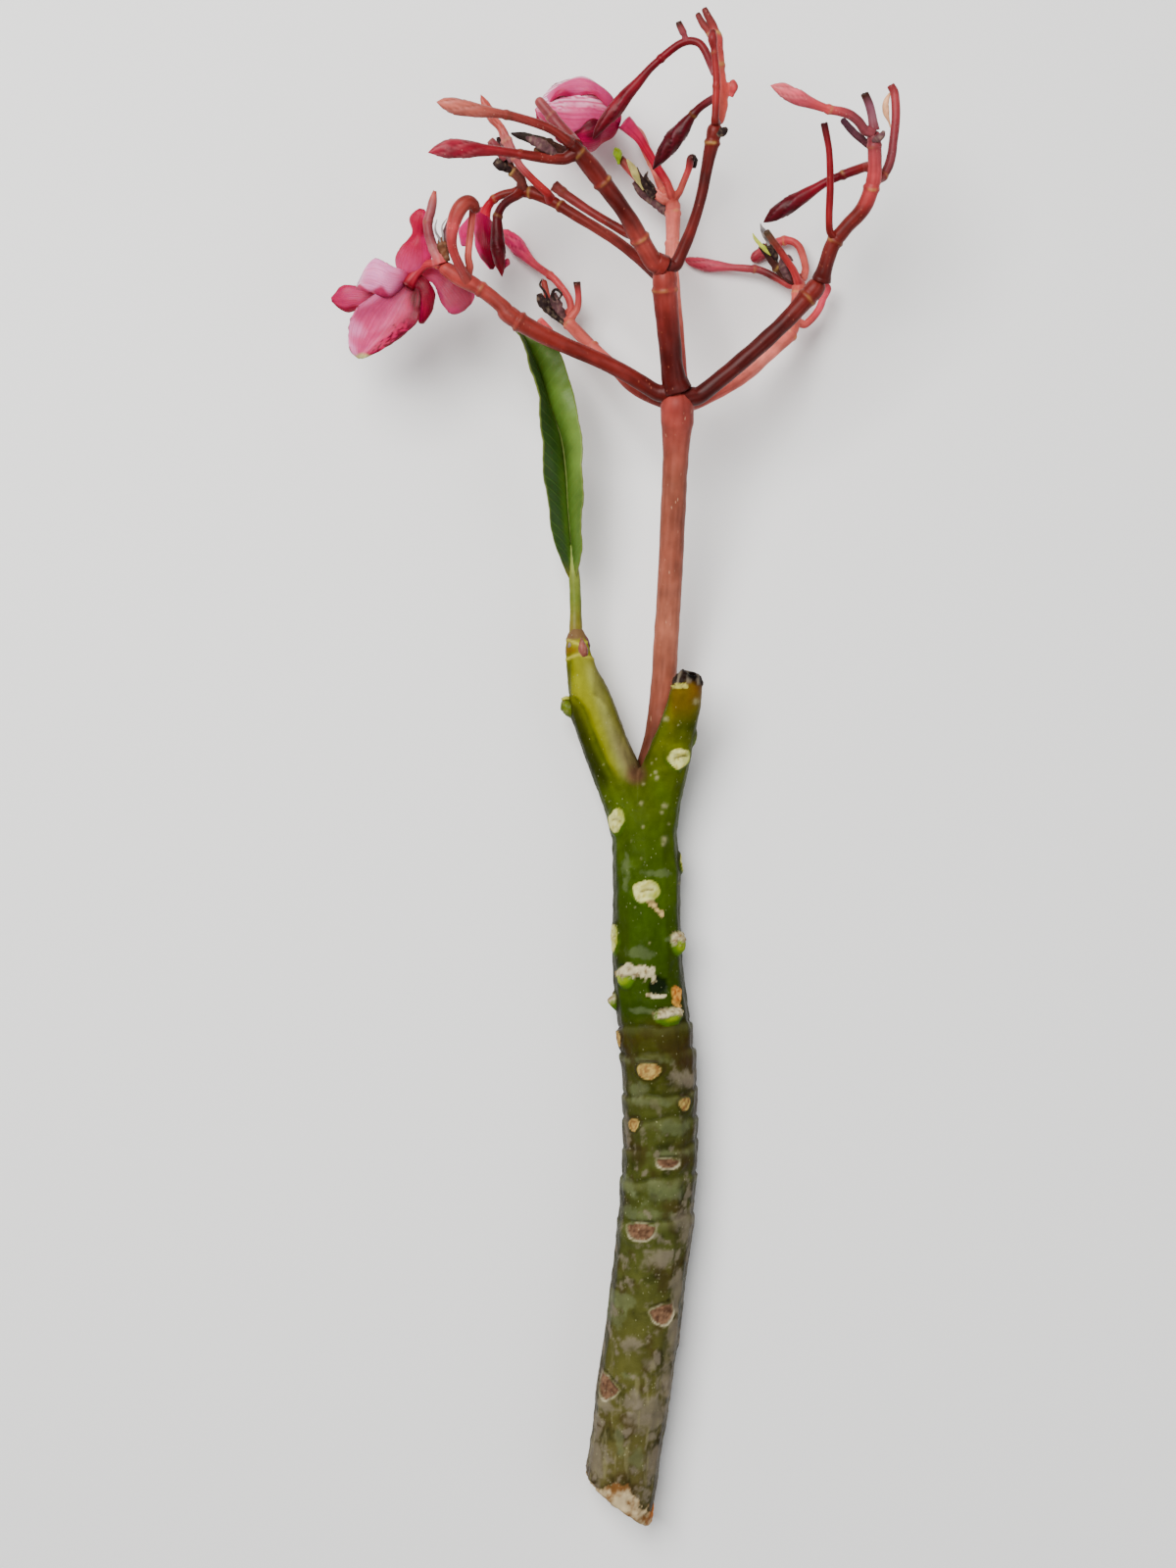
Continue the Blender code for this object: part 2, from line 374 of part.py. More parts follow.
def boolean(solid, cutter, operation, cutters):
    for group in list(cutter.users_collection):
        group.objects.unlink(cutter)
    cutters.objects.link(cutter)
    cutter.hide_render = True
    cutter.display_type = "WIRE"
    step = solid.modifiers.new(operation.lower(), "BOOLEAN")
    step.operation = operation
    step.solver = "EXACT"
    step.object = cutter


def joined_stems(name, routes, sides, finish, group, cutters):
    solids = [as_mesh(tube(f"{name}_{number}", route, sides, finish, group)) for number, route in enumerate(routes)]
    for extra in solids[1:]:
        boolean(solids[0], extra, "UNION", cutters)
    solids[0].name = name
    return solids[0]


def make_woody_stem(finish, group, cutters):
    routes = [curve_through(route, STEP) for route in (TRUNK, LEFT_SHOOT, RIGHT_SHOOT)]
    sections = [thin_out(route, 0.45) for route in routes]
    sections[1] = rounded(sections[1], start=False, end=True)
    stem = joined_stems("woody_stem", sections, THICK_SIDES, finish, group, cutters)
    size = 0.06
    bpy.ops.mesh.primitive_cube_add(size=size)
    block = bpy.context.object
    block.name = "foot_cutter"
    turn = Matrix.Rotation(math.radians(-CUT_SLANT), 4, "Z")
    below = turn.to_3x3() @ Vector((0, -size / 2, 0))
    block.matrix_world = Matrix.Translation(Vector(CUT_THROUGH) * MM + below) @ turn
    boolean(stem, block, "DIFFERENCE", cutters)
    return routes


def blade(name, stations, facing, cup, columns, thickness, finish, group):
    """A petal: a sheet with an arched cross-section, swept along its stations."""
    rows = curve_through(stations, max(1.6, (Vector(stations[0][:3]) - Vector(stations[-1][:3])).length / 8))
    mesh = bpy.data.meshes.new(name)
    sheet = bmesh.new()
    bmesh.ops.create_grid(sheet, x_segments=columns, y_segments=len(rows) - 1, size=1)
    bend = math.radians(cup)
    for vertex in sheet.verts:
        across = vertex.co.x
        index = round((vertex.co.y + 1) / 2 * (len(rows) - 1))
        along = tangent(rows, index)
        side = along.cross(Vector(facing)).normalized()
        up = side.cross(along)
        middle, half_width = centre(rows[index]), rows[index][3]
        arc = half_width / (bend / 2)
        angle = across * bend / 2
        vertex.co = (middle + side * arc * math.sin(angle) + up * arc * (math.cos(angle) - 1)) * MM
    sheet.to_mesh(mesh)
    sheet.free()
    return finished_sheet(name, mesh, thickness, finish, group)


def finished_sheet(name, mesh, thickness, finish, group):
    mesh.materials.append(finish)
    piece = bpy.data.objects.new(name, mesh)
    group.objects.link(piece)
    wall = piece.modifiers.new("wall", "SOLIDIFY")
    wall.thickness = thickness * MM
    wall.offset = 0
    mesh.shade_smooth()
    return piece


def make_leaf(finish, group, cutters, others):
    """One leaf folded along its midrib, on its stalk. Both halves stand up from the midrib, each to its own reach."""
    rows = curve_through(LEAF_STATIONS, 5)
    mesh = bpy.data.meshes.new("leaf")
    sheet = bmesh.new()
    bmesh.ops.create_grid(sheet, x_segments=4, y_segments=len(rows) - 1, size=1)
    for vertex in sheet.verts:
        across = vertex.co.x
        row = rows[round((vertex.co.y + 1) / 2 * (len(rows) - 1))]
        half_width, reach = row[3], row[4] if across < 0 else row[5]
        rise = math.sqrt(max(half_width ** 2 - reach ** 2, 0))
        vertex.co = (centre(row) + Vector((across * reach, 0, abs(across) * rise))) * MM
    sheet.to_mesh(mesh)
    sheet.free()
    leaf = as_mesh(finished_sheet("leaf", mesh, LEAF_THICKNESS, finish, group))
    stalk_route = seat(curve_through(PETIOLE, STEP), others, 14)
    stalk = as_mesh(tube("leaf_stalk", rounded(thin_out(stalk_route, 1.5)), THICK_SIDES, finish, group))
    boolean(leaf, stalk, "UNION", cutters)


def lay_down(group, cutters):
    """Moves everything so that the object stands on z = 0 with its box centred on the origin."""
    bpy.context.view_layer.update()
    depsgraph = bpy.context.evaluated_depsgraph_get()
    corners = []
    for piece in group.objects:
        shape = piece.evaluated_get(depsgraph).to_mesh()
        corners += [piece.matrix_world @ vertex.co for vertex in shape.vertices]
    low = [min(c[axis] for c in corners) for axis in range(3)]
    high = [max(c[axis] for c in corners) for axis in range(3)]
    shift = Vector((-(low[0] + high[0]) / 2, -(low[1] + high[1]) / 2, -low[2]))
    for piece in [*group.objects, *cutters.objects]:
        piece.matrix_world = Matrix.Translation(shift) @ piece.matrix_world


def build():
    start_empty()
    group = new_collection("plumeria_flower_cluster")
    cutters = new_collection("cutters")
    finishes = make_finishes()
    grown = make_woody_stem(finishes["bark"], group, cutters)
    for name, finish, route in MAIN_STEMS:
        samples = seat(curve_through(route, STEP), grown, 14)
        grown.append(samples)
        sides = THICK_SIDES if samples[0][3] > 1.9 else THIN_SIDES
        tube(name, rounded(thin_out(samples, 1.6), end=True), sides, finishes[finish], group)
    for name, finish, routes in FORKED_STEMS:
        routes = [curve_through(route, STEP) for route in routes]
        routes[0] = seat(routes[0], grown, 8)
        grown += routes
        sections = [rounded(thin_out(route, 1.4)) for route in routes]
        joined_stems(name, sections, THIN_SIDES, finishes[finish], group, cutters)
    for name, finish, route in FINE_STEMS:
        samples = seat(curve_through(route, STEP), grown, 8)
        grown.append(samples)
        tube(name, rounded(thin_out(samples, RING_SPACING / 2)), THIN_SIDES, finishes[finish], group)
    for name, finish, facing, cup, stations in LEFT_FLOWER + UPPER_FLOWER + DROOPING_FLOWER:
        blade(name, stations, facing, cup, 5, PETAL_THICKNESS, finishes[finish], group)
    make_leaf(finishes["leaf_green"], group, cutters, grown[:3])
    lay_down(group, cutters)


build()
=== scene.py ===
"""A plumeria cutting on a pale table: woody stem, leaf, branched red stalks, buds, stubs and wilting flowers.

Lengths are millimetres until a mesh is made. Positions come from the frame's nodes.
"""
import math

import bpy
import numpy as np
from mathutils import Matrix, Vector, noise


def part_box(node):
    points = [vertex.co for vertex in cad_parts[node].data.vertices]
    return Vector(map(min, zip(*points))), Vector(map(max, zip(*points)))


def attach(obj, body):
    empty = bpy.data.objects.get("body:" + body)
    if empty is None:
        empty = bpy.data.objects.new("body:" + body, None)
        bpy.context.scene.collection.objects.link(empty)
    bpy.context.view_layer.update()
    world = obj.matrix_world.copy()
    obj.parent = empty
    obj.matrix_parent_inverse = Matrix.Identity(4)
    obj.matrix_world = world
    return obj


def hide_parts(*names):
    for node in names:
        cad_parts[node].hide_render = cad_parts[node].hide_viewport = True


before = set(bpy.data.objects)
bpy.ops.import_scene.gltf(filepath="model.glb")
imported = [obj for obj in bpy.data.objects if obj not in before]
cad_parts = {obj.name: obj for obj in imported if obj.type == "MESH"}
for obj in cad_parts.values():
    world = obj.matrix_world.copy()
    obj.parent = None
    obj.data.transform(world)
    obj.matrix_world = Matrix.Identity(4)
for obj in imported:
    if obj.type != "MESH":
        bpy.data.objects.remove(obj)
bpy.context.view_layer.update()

MM = 0.001
SHIFT = (-6.08, 2.72, -0.15)     # mm, from the drawing's own zero to the middle of the frame
TAU = 2 * math.pi
MERGE_WITHIN = 0.002 * MM
BARE_STRENGTH, BARE_DEPTH = 0.86, 1.3       # a bare surface is darker and deeper than it looks when lit
LEAF_WALL, PETAL_WALL = 0.45, 0.26         # mm
WOODY_VOXEL, PINK_TOP_VOXEL = 0.5, 0.3      # mm
LEAF_VEINS = 24                             # side veins along each half of the leaf


def rgb(red, green, blue):
    """A colour as it looks in soft light, 0 to 255, turned to the linear values of the bare surface."""
    linear = [((c / 255 + 0.055) / 1.055) ** 2.4 if c > 10 else c / 255 / 12.92 for c in (red, green, blue)]
    return tuple(BARE_STRENGTH * c ** BARE_DEPTH for c in linear)


# ---------------------------------------------------------------- reading the frame

def node_points(name):
    """The separate corners of a node's mesh."""
    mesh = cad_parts[name].data
    corners = np.array([v.co for v in mesh.vertices]) / MM
    points, index = np.unique(np.round(corners, 4), axis=0, return_inverse=True)
    mesh.calc_loop_triangles()
    triangles = index.reshape(-1)[np.array([t.vertices for t in mesh.loop_triangles])]
    return points, triangles


def flat_round_faces(points, triangles):
    """The two flat round ends of a tube, each as a set of corners."""
    a, b, c = (points[triangles[:, k]] for k in range(3))
    normals = np.cross(b - a, c - a)
    normals /= np.linalg.norm(normals, axis=1)[:, None] + 1e-12
    leader = list(range(len(triangles)))

    def find(k):
        while leader[k] != k:
            k = leader[k]
        return k

    beside = {}
    for number, triangle in enumerate(triangles):
        for k in range(3):
            edge = tuple(sorted((triangle[k], triangle[(k + 1) % 3])))
            other = beside.setdefault(edge, number)
            if other != number and normals[other] @ normals[number] > 0.9999:
                leader[find(number)] = find(other)
    groups = {}
    for number in range(len(triangles)):
        groups.setdefault(find(number), []).append(number)
    rated = []
    for members in groups.values():
        corners = np.unique(triangles[members])
        if len(corners) in (8, 12) and len(members) == len(corners) - 2:
            spread = np.linalg.svd(points[corners] - points[corners].mean(0), compute_uv=False)
            rated.append((spread[1] / spread[0], corners))
    rated.sort(key=lambda entry: -entry[0])
    return [corners for _, corners in rated[:2]]


def centreline(name, towards):
    """Centres and radii of a tube's sections, from the end nearer to the point `towards`."""
    points, triangles = node_points(name)
    ends = flat_round_faces(points, triangles)
    ring = min(ends, key=lambda corners: np.linalg.norm(points[corners].mean(0) - towards))
    left = np.setdiff1d(np.arange(len(points)), ring)
    rows = []
    while True:
        middle = points[ring].mean(0)
        rows.append([*middle, np.linalg.norm(points[ring] - middle, axis=1).mean()])
        if len(left) == 0:
            return np.array(rows)
        size = min(len(ends[0]), len(left))
        reach = np.linalg.norm(points[left][None] - points[ring][:, None], axis=2)
        chosen = set(np.argmin(reach, axis=1))
        aim = points[left[list(chosen)]].mean(0)
        for k in np.argsort(np.linalg.norm(points[left] - aim, axis=1)):
            if len(chosen) >= size:
                break
            chosen.add(k)
        ring = left[sorted(chosen)]
        left = np.setdiff1d(left, ring)


# ---------------------------------------------------------------- shapes

def curve_through(rows, spacing):
    """Points along a smooth curve through the rows, at an even spacing; every column is carried along."""
    rows = np.asarray(rows, float)
    ends = np.vstack([2 * rows[0] - rows[1], rows, 2 * rows[-1] - rows[-2]])
    fine = []
    for before, a, b, after in zip(ends, ends[1:], ends[2:], ends[3:]):
        for t in np.linspace(0, 1, 12, endpoint=False):
            fine.append(0.5 * (2 * a + (b - before) * t + (2 * before - 5 * a + 4 * b - after) * t ** 2
                               + (3 * a - before - 3 * b + after) * t ** 3))
    fine = np.array([*fine, rows[-1]])
    run = np.concatenate([[0], np.cumsum(np.linalg.norm(np.diff(fine[:, :3], axis=0), axis=1))])
    count = max(4, int(round(run[-1] / spacing)) + 1)
    at = np.linspace(0, run[-1], count)
    return np.column_stack([np.interp(at, run, fine[:, k]) for k in range(fine.shape[1])]), at


def across_the_path(path):
    """Two directions across the path at each point, turning as little as possible."""
    along = np.gradient(path, axis=0)
    along /= np.linalg.norm(along, axis=1)[:, None] + 1e-12
    side = np.cross(along[0], (0, 0, 1.0))
    if np.linalg.norm(side) < 0.1:
        side = np.cross(along[0], (1.0, 0, 0))
    sides = []
    for direction in along:
        side = side - direction * (side @ direction)
        side /= np.linalg.norm(side)
        sides.append(side)
    sides = np.array(sides)
    return sides, np.cross(along, sides)


def ramp(low, high, value):
    """0 at low, 1 at high, smooth between; the other way round if low is above high."""
    t = np.clip((value - low) / (high - low), 0, 1)
    return t * t * (3 - 2 * t)


def mix(a, b, share):
    share = np.asarray(share)[..., None]
    return np.asarray(a) * (1 - share) + np.asarray(b) * share


def wobble(points, scale, seed=0.0, octaves=1):
    """Smooth noise from -1 to 1 at each point; more octaves add finer detail."""
    shift = np.array((seed, -seed, 2 * seed)) + 0.37
    total = np.zeros(len(points))
    for octave in range(octaves):
        total += [noise.noise(p) / 1.7 ** octave
                  for p in (np.asarray(points) * 2 ** octave / scale + shift).tolist()]
    return total


def numbered_seed(name, spread):
    """A number that differs from one name to the next, so that no two pieces look the same."""
    return sum(ord(letter) for letter in name) % spread


def edit_whole(piece, *steps):
    """Selects the whole mesh in edit mode and takes each step there."""
    bpy.context.view_layer.objects.active = piece
    bpy.ops.object.mode_set(mode="EDIT")
    bpy.ops.mesh.select_all(action="SELECT")
    for step, settings in steps:
        step(**settings)
    bpy.ops.object.mode_set(mode="OBJECT")


def apply_modifier(piece, kind, **settings):
    change = piece.modifiers.new(kind.lower(), kind)
    for key, value in settings.items():
        setattr(change, key, value)
    bpy.ops.object.modifier_apply(modifier=change.name)


def set_corners(piece, points, tint, finish):
    """Moves the corners, in millimetres, and stores their colours."""
    piece.data.vertices.foreach_set("co", (points * MM).astype(np.float32).ravel())
    colours = piece.data.color_attributes.new("tint", "FLOAT_COLOR", "POINT")
    full = np.column_stack([np.clip(tint, 0, 1), np.ones(len(points))])
    colours.data.foreach_set("color", full.astype(np.float32).ravel())
    piece.data.materials.append(finish)
    piece.data.update()


def shape_grid(name, points, finish, tint, replaced=(), wall=0.0, closed=False):
    """A grid primitive moved into shape. points and tint are rows x columns; lengths in millimetres."""
    along, across = points.shape[0] - 1, points.shape[1] - 1
    bpy.ops.object.select_all(action="DESELECT")
    bpy.ops.mesh.primitive_grid_add(x_subdivisions=across, y_subdivisions=along, size=2)
    piece = bpy.context.object
    piece.name = piece.data.name = name
    flat = np.array([v.co for v in piece.data.vertices])
    column = np.rint((flat[:, 0] + 1) / 2 * across).astype(int)
    row = np.rint((flat[:, 1] + 1) / 2 * along).astype(int)
    piece.data.uv_layers[0].name = "layout"
    set_corners(piece, points[row, column], tint[row, column], finish)
    merge = [(bpy.ops.mesh.remove_doubles, {"threshold": MERGE_WITHIN})] if closed else []
    edit_whole(piece, *merge, (bpy.ops.mesh.normals_make_consistent, {"inside": False}))
    if wall:
        apply_modifier(piece, "SOLIDIFY", thickness=wall * MM, offset=0)
    bpy.ops.object.shade_smooth()
    return finished(piece, replaced)


def finished(piece, replaced=()):
    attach(piece, "root")
    if replaced:
        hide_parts(*replaced)
    return piece


def copy_of_node(name, voxel):
    """A clean closed copy of a CAD node with small even faces."""
    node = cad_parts[name]
    bpy.ops.object.select_all(action="DESELECT")
    piece = bpy.data.objects.new(name + "_skin", node.data.copy())
    bpy.context.scene.collection.objects.link(piece)
    piece.data.materials.clear()
    piece.select_set(True)
    edit_whole(piece, (bpy.ops.mesh.remove_doubles, {"threshold": MERGE_WITHIN}))
    apply_modifier(piece, "REMESH", mode="VOXEL", voxel_size=voxel * MM, adaptivity=0)
    edit_whole(piece, (bpy.ops.mesh.separate, {"type": "LOOSE"}))
    shells = sorted(bpy.context.selected_objects, key=lambda shell: len(shell.data.vertices))
    piece = shells.pop()
    for shell in shells:
        bpy.data.objects.remove(shell)
    piece.name = name + "_skin"
    bpy.context.view_layer.objects.active = piece
    piece.select_set(True)
    apply_modifier(piece, "SMOOTH", factor=0.5, iterations=12)
    bpy.ops.object.shade_smooth()
    return piece


def corners_of(piece):
    count = len(piece.data.vertices)
    points, normals = np.zeros(count * 3), np.zeros(count * 3)
    piece.data.vertices.foreach_get("co", points)
    piece.data.vertices.foreach_get("normal", normals)
    return points.reshape(-1, 3) / MM, normals.reshape(-1, 3)


def lumps_around(seed, run, turn, breadth, pitch):
    """Noise that runs smoothly round a tube and along it."""
    circle = [(math.cos(TAU * t) * breadth, math.sin(TAU * t) * breadth) for t in turn[0]]
    return np.array([[noise.noise(Vector((seed, x, y + pitch * r))) for x, y in circle] for r in run[:, 0]])


def swept(rows, spacing, sides, swell):
    """Rings of corners along the rows; swell(run, turn, radius) gives a corner's distance from the centre."""
    path, run = curve_through(rows, spacing)
    side, up = across_the_path(path[:, :3])
    turn = np.linspace(0, 1, sides + 1)
    angle = TAU * turn
    reach = swell(run[:, None], turn[None] % 1, path[:, 3][:, None])
    out = side[:, None] * np.cos(angle)[None, :, None] + up[:, None] * np.sin(angle)[None, :, None]
    return path[:, None, :3] + out * reach[..., None], run, turn


def closed_ends(points, end):
    """Closes a tube with rings; end gives (share of radius, step outward) of those at its tip."""
    first, last = points[0], points[-1]
    ahead = (last - points[-2]).mean(0)
    ahead = ahead / np.linalg.norm(ahead)
    before = [first.mean(0) + (first - first.mean(0)) * share for share in (0.5, 0)]
    after = [last.mean(0) + (last - last.mean(0)) * share + ahead * step for share, step in end]
    return np.array([*before[::-1], *points, *after])


# ---------------------------------------------------------------- shader groups

def new_group(name, inputs, outputs):
    tree = bpy.data.node_groups.new(name, "ShaderNodeTree")
    for label, kind, value in inputs:
        socket = tree.interface.new_socket(label, in_out="INPUT", socket_type=kind)
        socket.default_value = value
    for label, kind in outputs:
        tree.interface.new_socket(label, in_out="OUTPUT", socket_type=kind)
    return tree, tree.nodes.new("NodeGroupInput"), tree.nodes.new("NodeGroupOutput")


def add(tree, kind, links=(), **settings):
    """A node with its settings; links gives (input, socket or value)."""
    node = tree.nodes.new(kind)
    for key, value in settings.items():
        setattr(node, key, value)
    for key, value in links:
        if isinstance(value, bpy.types.NodeSocket):
            tree.links.new(value, node.inputs[key])
        else:
            node.inputs[key].default_value = value
    return node


def sum_up(tree, operation, a, b=0.0):
    return add(tree, "ShaderNodeMath", [(0, a), (1, b)], operation=operation).outputs[0]


def times(tree, a, b):
    return sum_up(tree, "MULTIPLY", a, b)


def plus(tree, a, b):
    return sum_up(tree, "ADD", a, b)


def blend_colours(tree, share, a, b, how="MIX"):
    links = [(0, share), (6, a), (7, b)]
    return add(tree, "ShaderNodeMix", links, data_type="RGBA", blend_type=how).outputs[2]


def noise_of(tree, where, scale, **settings):
    links = [("Vector", where), ("Scale", scale),
             *((key.capitalize(), value) for key, value in settings.items())]
    return add(tree, "ShaderNodeTexNoise", links).outputs["Fac"]


def band(tree, value, low, high, to_low=0.0, to_high=1.0, curve="SMOOTHSTEP"):
    """0 below low, 1 above high, or the other way round if low is above high."""
    links = [("Value", value), ("From Min", low), ("From Max", high), ("To Min", to_low), ("To Max", to_high)]
    return add(tree, "ShaderNodeMapRange", links, interpolation_type=curve).outputs["Result"]


def place_in(tree):
    return add(tree, "ShaderNodeTexCoord").outputs["Object"]


def mottling_group():
    """Breaks up a plain colour: broad patches, fine grain and pale specks."""
    tree, start, end = new_group("mottling", [
        ("Colour", "NodeSocketColor", (1, 1, 1, 1)), ("Patch size", "NodeSocketFloat", 4.0),
        ("Patch strength", "NodeSocketFloat", 0.25), ("Speck colour", "NodeSocketColor", (1, 1, 1, 1)),
        ("Speck amount", "NodeSocketFloat", 0.3), ("Stretch", "NodeSocketFloat", 1.0)],
        [("Colour", "NodeSocketColor"), ("Height", "NodeSocketFloat")])
    given = start.outputs
    where = place_in(tree)
    patches = sum_up(tree, "DIVIDE", 1 / MM, given["Patch size"])
    broad = noise_of(tree, where, patches, detail=4.0, roughness=0.6)
    fine = noise_of(tree, where, 2200.0, detail=3.0)
    darker = sum_up(tree, "SUBTRACT", 1.0, given["Patch strength"])
    lighter = plus(tree, 1.0, given["Patch strength"])
    level = band(tree, broad, 0.3, 0.7, darker, lighter, "LINEAR")
    grey = add(tree, "ShaderNodeCombineColor", [(0, level), (1, level), (2, level)]).outputs[0]
    patched = blend_colours(tree, 1.0, given["Colour"], grey, "MULTIPLY")
    squeeze = add(tree, "ShaderNodeCombineXYZ", [(0, 1.0), (1, given["Stretch"]), (2, 1.0)]).outputs[0]
    drawn = add(tree, "ShaderNodeVectorMath", [(0, where), (1, squeeze)], operation="MULTIPLY").outputs[0]
    cells = add(tree, "ShaderNodeTexVoronoi", [("Vector", drawn), ("Scale", 900.0), ("Randomness", 1.0)])
    dot = band(tree, cells.outputs["Distance"], 0.22, 0.1)
    keep = band(tree, noise_of(tree, where, 300.0), 0.5, 0.62)
    share = times(tree, times(tree, dot, keep), given["Speck amount"])
    tree.links.new(blend_colours(tree, share, patched, given["Speck colour"]), end.inputs["Colour"])
    height = plus(tree, plus(tree, times(tree, fine, 0.3), broad), times(tree, share, 0.4))
    tree.links.new(height, end.inputs["Height"])
    return tree


MOTTLING = mottling_group()


def new_material(name):
    finish = bpy.data.materials.new(name)
    finish.use_nodes = True
    return finish, finish.node_tree, finish.node_tree.nodes["Principled BSDF"]


def mottled(tree, **values):
    """The mesh's own colour, broken up by the mottling group."""
    tint = add(tree, "ShaderNodeAttribute", attribute_name="tint").outputs["Color"]
    named = [(key.replace("_", " ").capitalize(), value) for key, value in values.items()]
    links = [("Colour", tint), *named]
    return tint, add(tree, "ShaderNodeGroup", links, node_tree=MOTTLING).outputs


def set_shader(tree, shader, colour, height, strength, distance, **values):
    """Joins colour and bumps (distance in mm) to the shader, and sets its other inputs."""
    bumps = add(tree, "ShaderNodeBump",
                [("Height", height), ("Strength", strength), ("Distance", distance * MM)])
    tree.links.new(colour, shader.inputs["Base Color"])
    tree.links.new(bumps.outputs[0], shader.inputs["Normal"])
    for key, value in values.items():
        shader.inputs[SHADER_INPUTS[key]].default_value = value


SHADER_INPUTS = {"roughness": "Roughness", "glow": "Subsurface Weight", "glow_colours": "Subsurface Radius",
                 "glow_reach": "Subsurface Scale", "shine": "IOR"}
GLOW = {"glow_colours": (1.0, 0.4, 0.25), "glow_reach": 1.5 * MM, "shine": 1.24}


def skin_finish(name, roughness, patch, patch_strength, speck, speck_amount, bump, stretch=1.0, glow=0.08):
    """A plant skin that takes its colour from the points of the mesh."""
    finish, tree, shader = new_material(name)
    broken = mottled(tree, patch_size=patch, patch_strength=patch_strength, speck_colour=(*speck, 1),
                     speck_amount=speck_amount, stretch=stretch)[1]
    set_shader(tree, shader, broken["Colour"], broken["Height"], 0.5, bump, roughness=roughness, glow=glow,
               **GLOW)
    return finish


def bark_finish():
    """Green and grey bark with pale pores and fine cracks; its dark parts are smooth and waxy."""
    finish, tree, shader = new_material("bark_skin")
    where = place_in(tree)
    tint, broken = mottled(tree, patch_size=6, patch_strength=0.2, speck_colour=(*rgb(196, 196, 160), 1),
                           speck_amount=0.3, stretch=0.7)
    grain = noise_of(tree, where, 900.0, detail=5.0, roughness=0.65)
    spots = [("Vector", where), ("Scale", 420.0)]
    crack = add(tree, "ShaderNodeTexVoronoi", spots, feature="DISTANCE_TO_EDGE")
    cracks = band(tree, crack.outputs["Distance"], 0.0, 0.05)
    height = plus(tree, plus(tree, times(tree, grain, 0.8), times(tree, cracks, 0.15)), broken["Height"])
    set_shader(tree, shader, broken["Colour"], height, 0.55, 0.25, shine=1.1)
    brightness = add(tree, "ShaderNodeRGBToBW", [(0, tint)]).outputs[0]
    tree.links.new(band(tree, brightness, 0.02, 0.3, 0.34, 0.75, "LINEAR"), shader.inputs["Roughness"])
    return finish


def sheet_finish(name, roughness, vein_colour, vein_amount, lengthwise, glow, scale):
    """A leaf or petal: colour from the mesh, with veins that follow the sheet's own layout."""
    finish, tree, shader = new_material(name)
    layout = add(tree, "ShaderNodeUVMap", uv_map="layout").outputs["UV"]
    parts = add(tree, "ShaderNodeSeparateXYZ", [(0, layout)]).outputs
    off_middle = sum_up(tree, "ABSOLUTE", sum_up(tree, "SUBTRACT", parts[0], 0.5))
    if lengthwise:
        stretch = [(0, layout), (1, (34.0, 2.2, 1.0))]
        drawn = add(tree, "ShaderNodeVectorMath", stretch, operation="MULTIPLY").outputs[0]
        veins = band(tree, noise_of(tree, drawn, 1.0, detail=3.0, distortion=0.3), 0.48, 0.7)
    else:
        slant = plus(tree, parts[1], times(tree, off_middle, -0.18))
        veins = band(tree, sum_up(tree, "SINE", times(tree, slant, TAU * LEAF_VEINS)), 0.9, 1.0)
    broken = mottled(tree, patch_size=5, patch_strength=0.14, speck_amount=0.0, stretch=1.0)[1]
    colour = blend_colours(tree, times(tree, veins, vein_amount), broken["Colour"], (*vein_colour, 1))
    if not lengthwise:
        midrib = times(tree, band(tree, off_middle, 0.022, 0.012), 0.85)
        colour = blend_colours(tree, midrib, colour, (*rgb(170, 184, 116), 1))
    height = plus(tree, noise_of(tree, place_in(tree), scale, detail=4.0), times(tree, veins, 0.5))
    set_shader(tree, shader, colour, height, 0.4, 0.12, roughness=roughness, glow=glow, **GLOW)
    return finish


FINISHES = {
    "bark": bark_finish(),
    "leaf_green": sheet_finish("leaf_skin", 0.38, rgb(128, 160, 88), 0.2, False, 0.1, 1400),
    "petal": sheet_finish("petal_skin", 0.42, rgb(190, 30, 90), 0.4, True, 0.3, 1800),
    "petal_red": skin_finish("flower_tube_skin", 0.4, 4, 0.2, rgb(250, 190, 190), 0.2, 0.08, glow=0.2),
    "stalk_green": skin_finish("leaf_stalk_skin", 0.4, 4, 0.2, rgb(200, 200, 120), 0.3, 0.08),
    "stalk_red": skin_finish("stalk_skin", 0.5, 9, 0.22, rgb(220, 176, 148), 0.55, 0.10, stretch=0.2),
    "branch_red": skin_finish("red_branch_skin", 0.42, 7, 0.28, rgb(212, 140, 112), 0.25, 0.10, stretch=0.5),
    "branch_salmon": skin_finish("salmon_branch_skin", 0.46, 6, 0.25, rgb(236, 180, 156), 0.25, 0.10,
                                 stretch=0.5),
    "pedicel_mauve": skin_finish("pedicel_skin", 0.42, 5, 0.28, rgb(222, 168, 160), 0.2, 0.10, glow=0.04),
    "bud_crimson": skin_finish("dark_bud_skin", 0.4, 6, 0.3, rgb(200, 60, 80), 0.15, 0.08),
    "bud_pink": skin_finish("pink_bud_skin", 0.42, 5, 0.22, rgb(245, 200, 180), 0.25, 0.08),
    "dried": skin_finish("withered_skin", 0.75, 2.5, 0.45, rgb(190, 170, 150), 0.4, 0.35, glow=0.0),
}

# ---------------------------------------------------------------- stems, stubs and buds

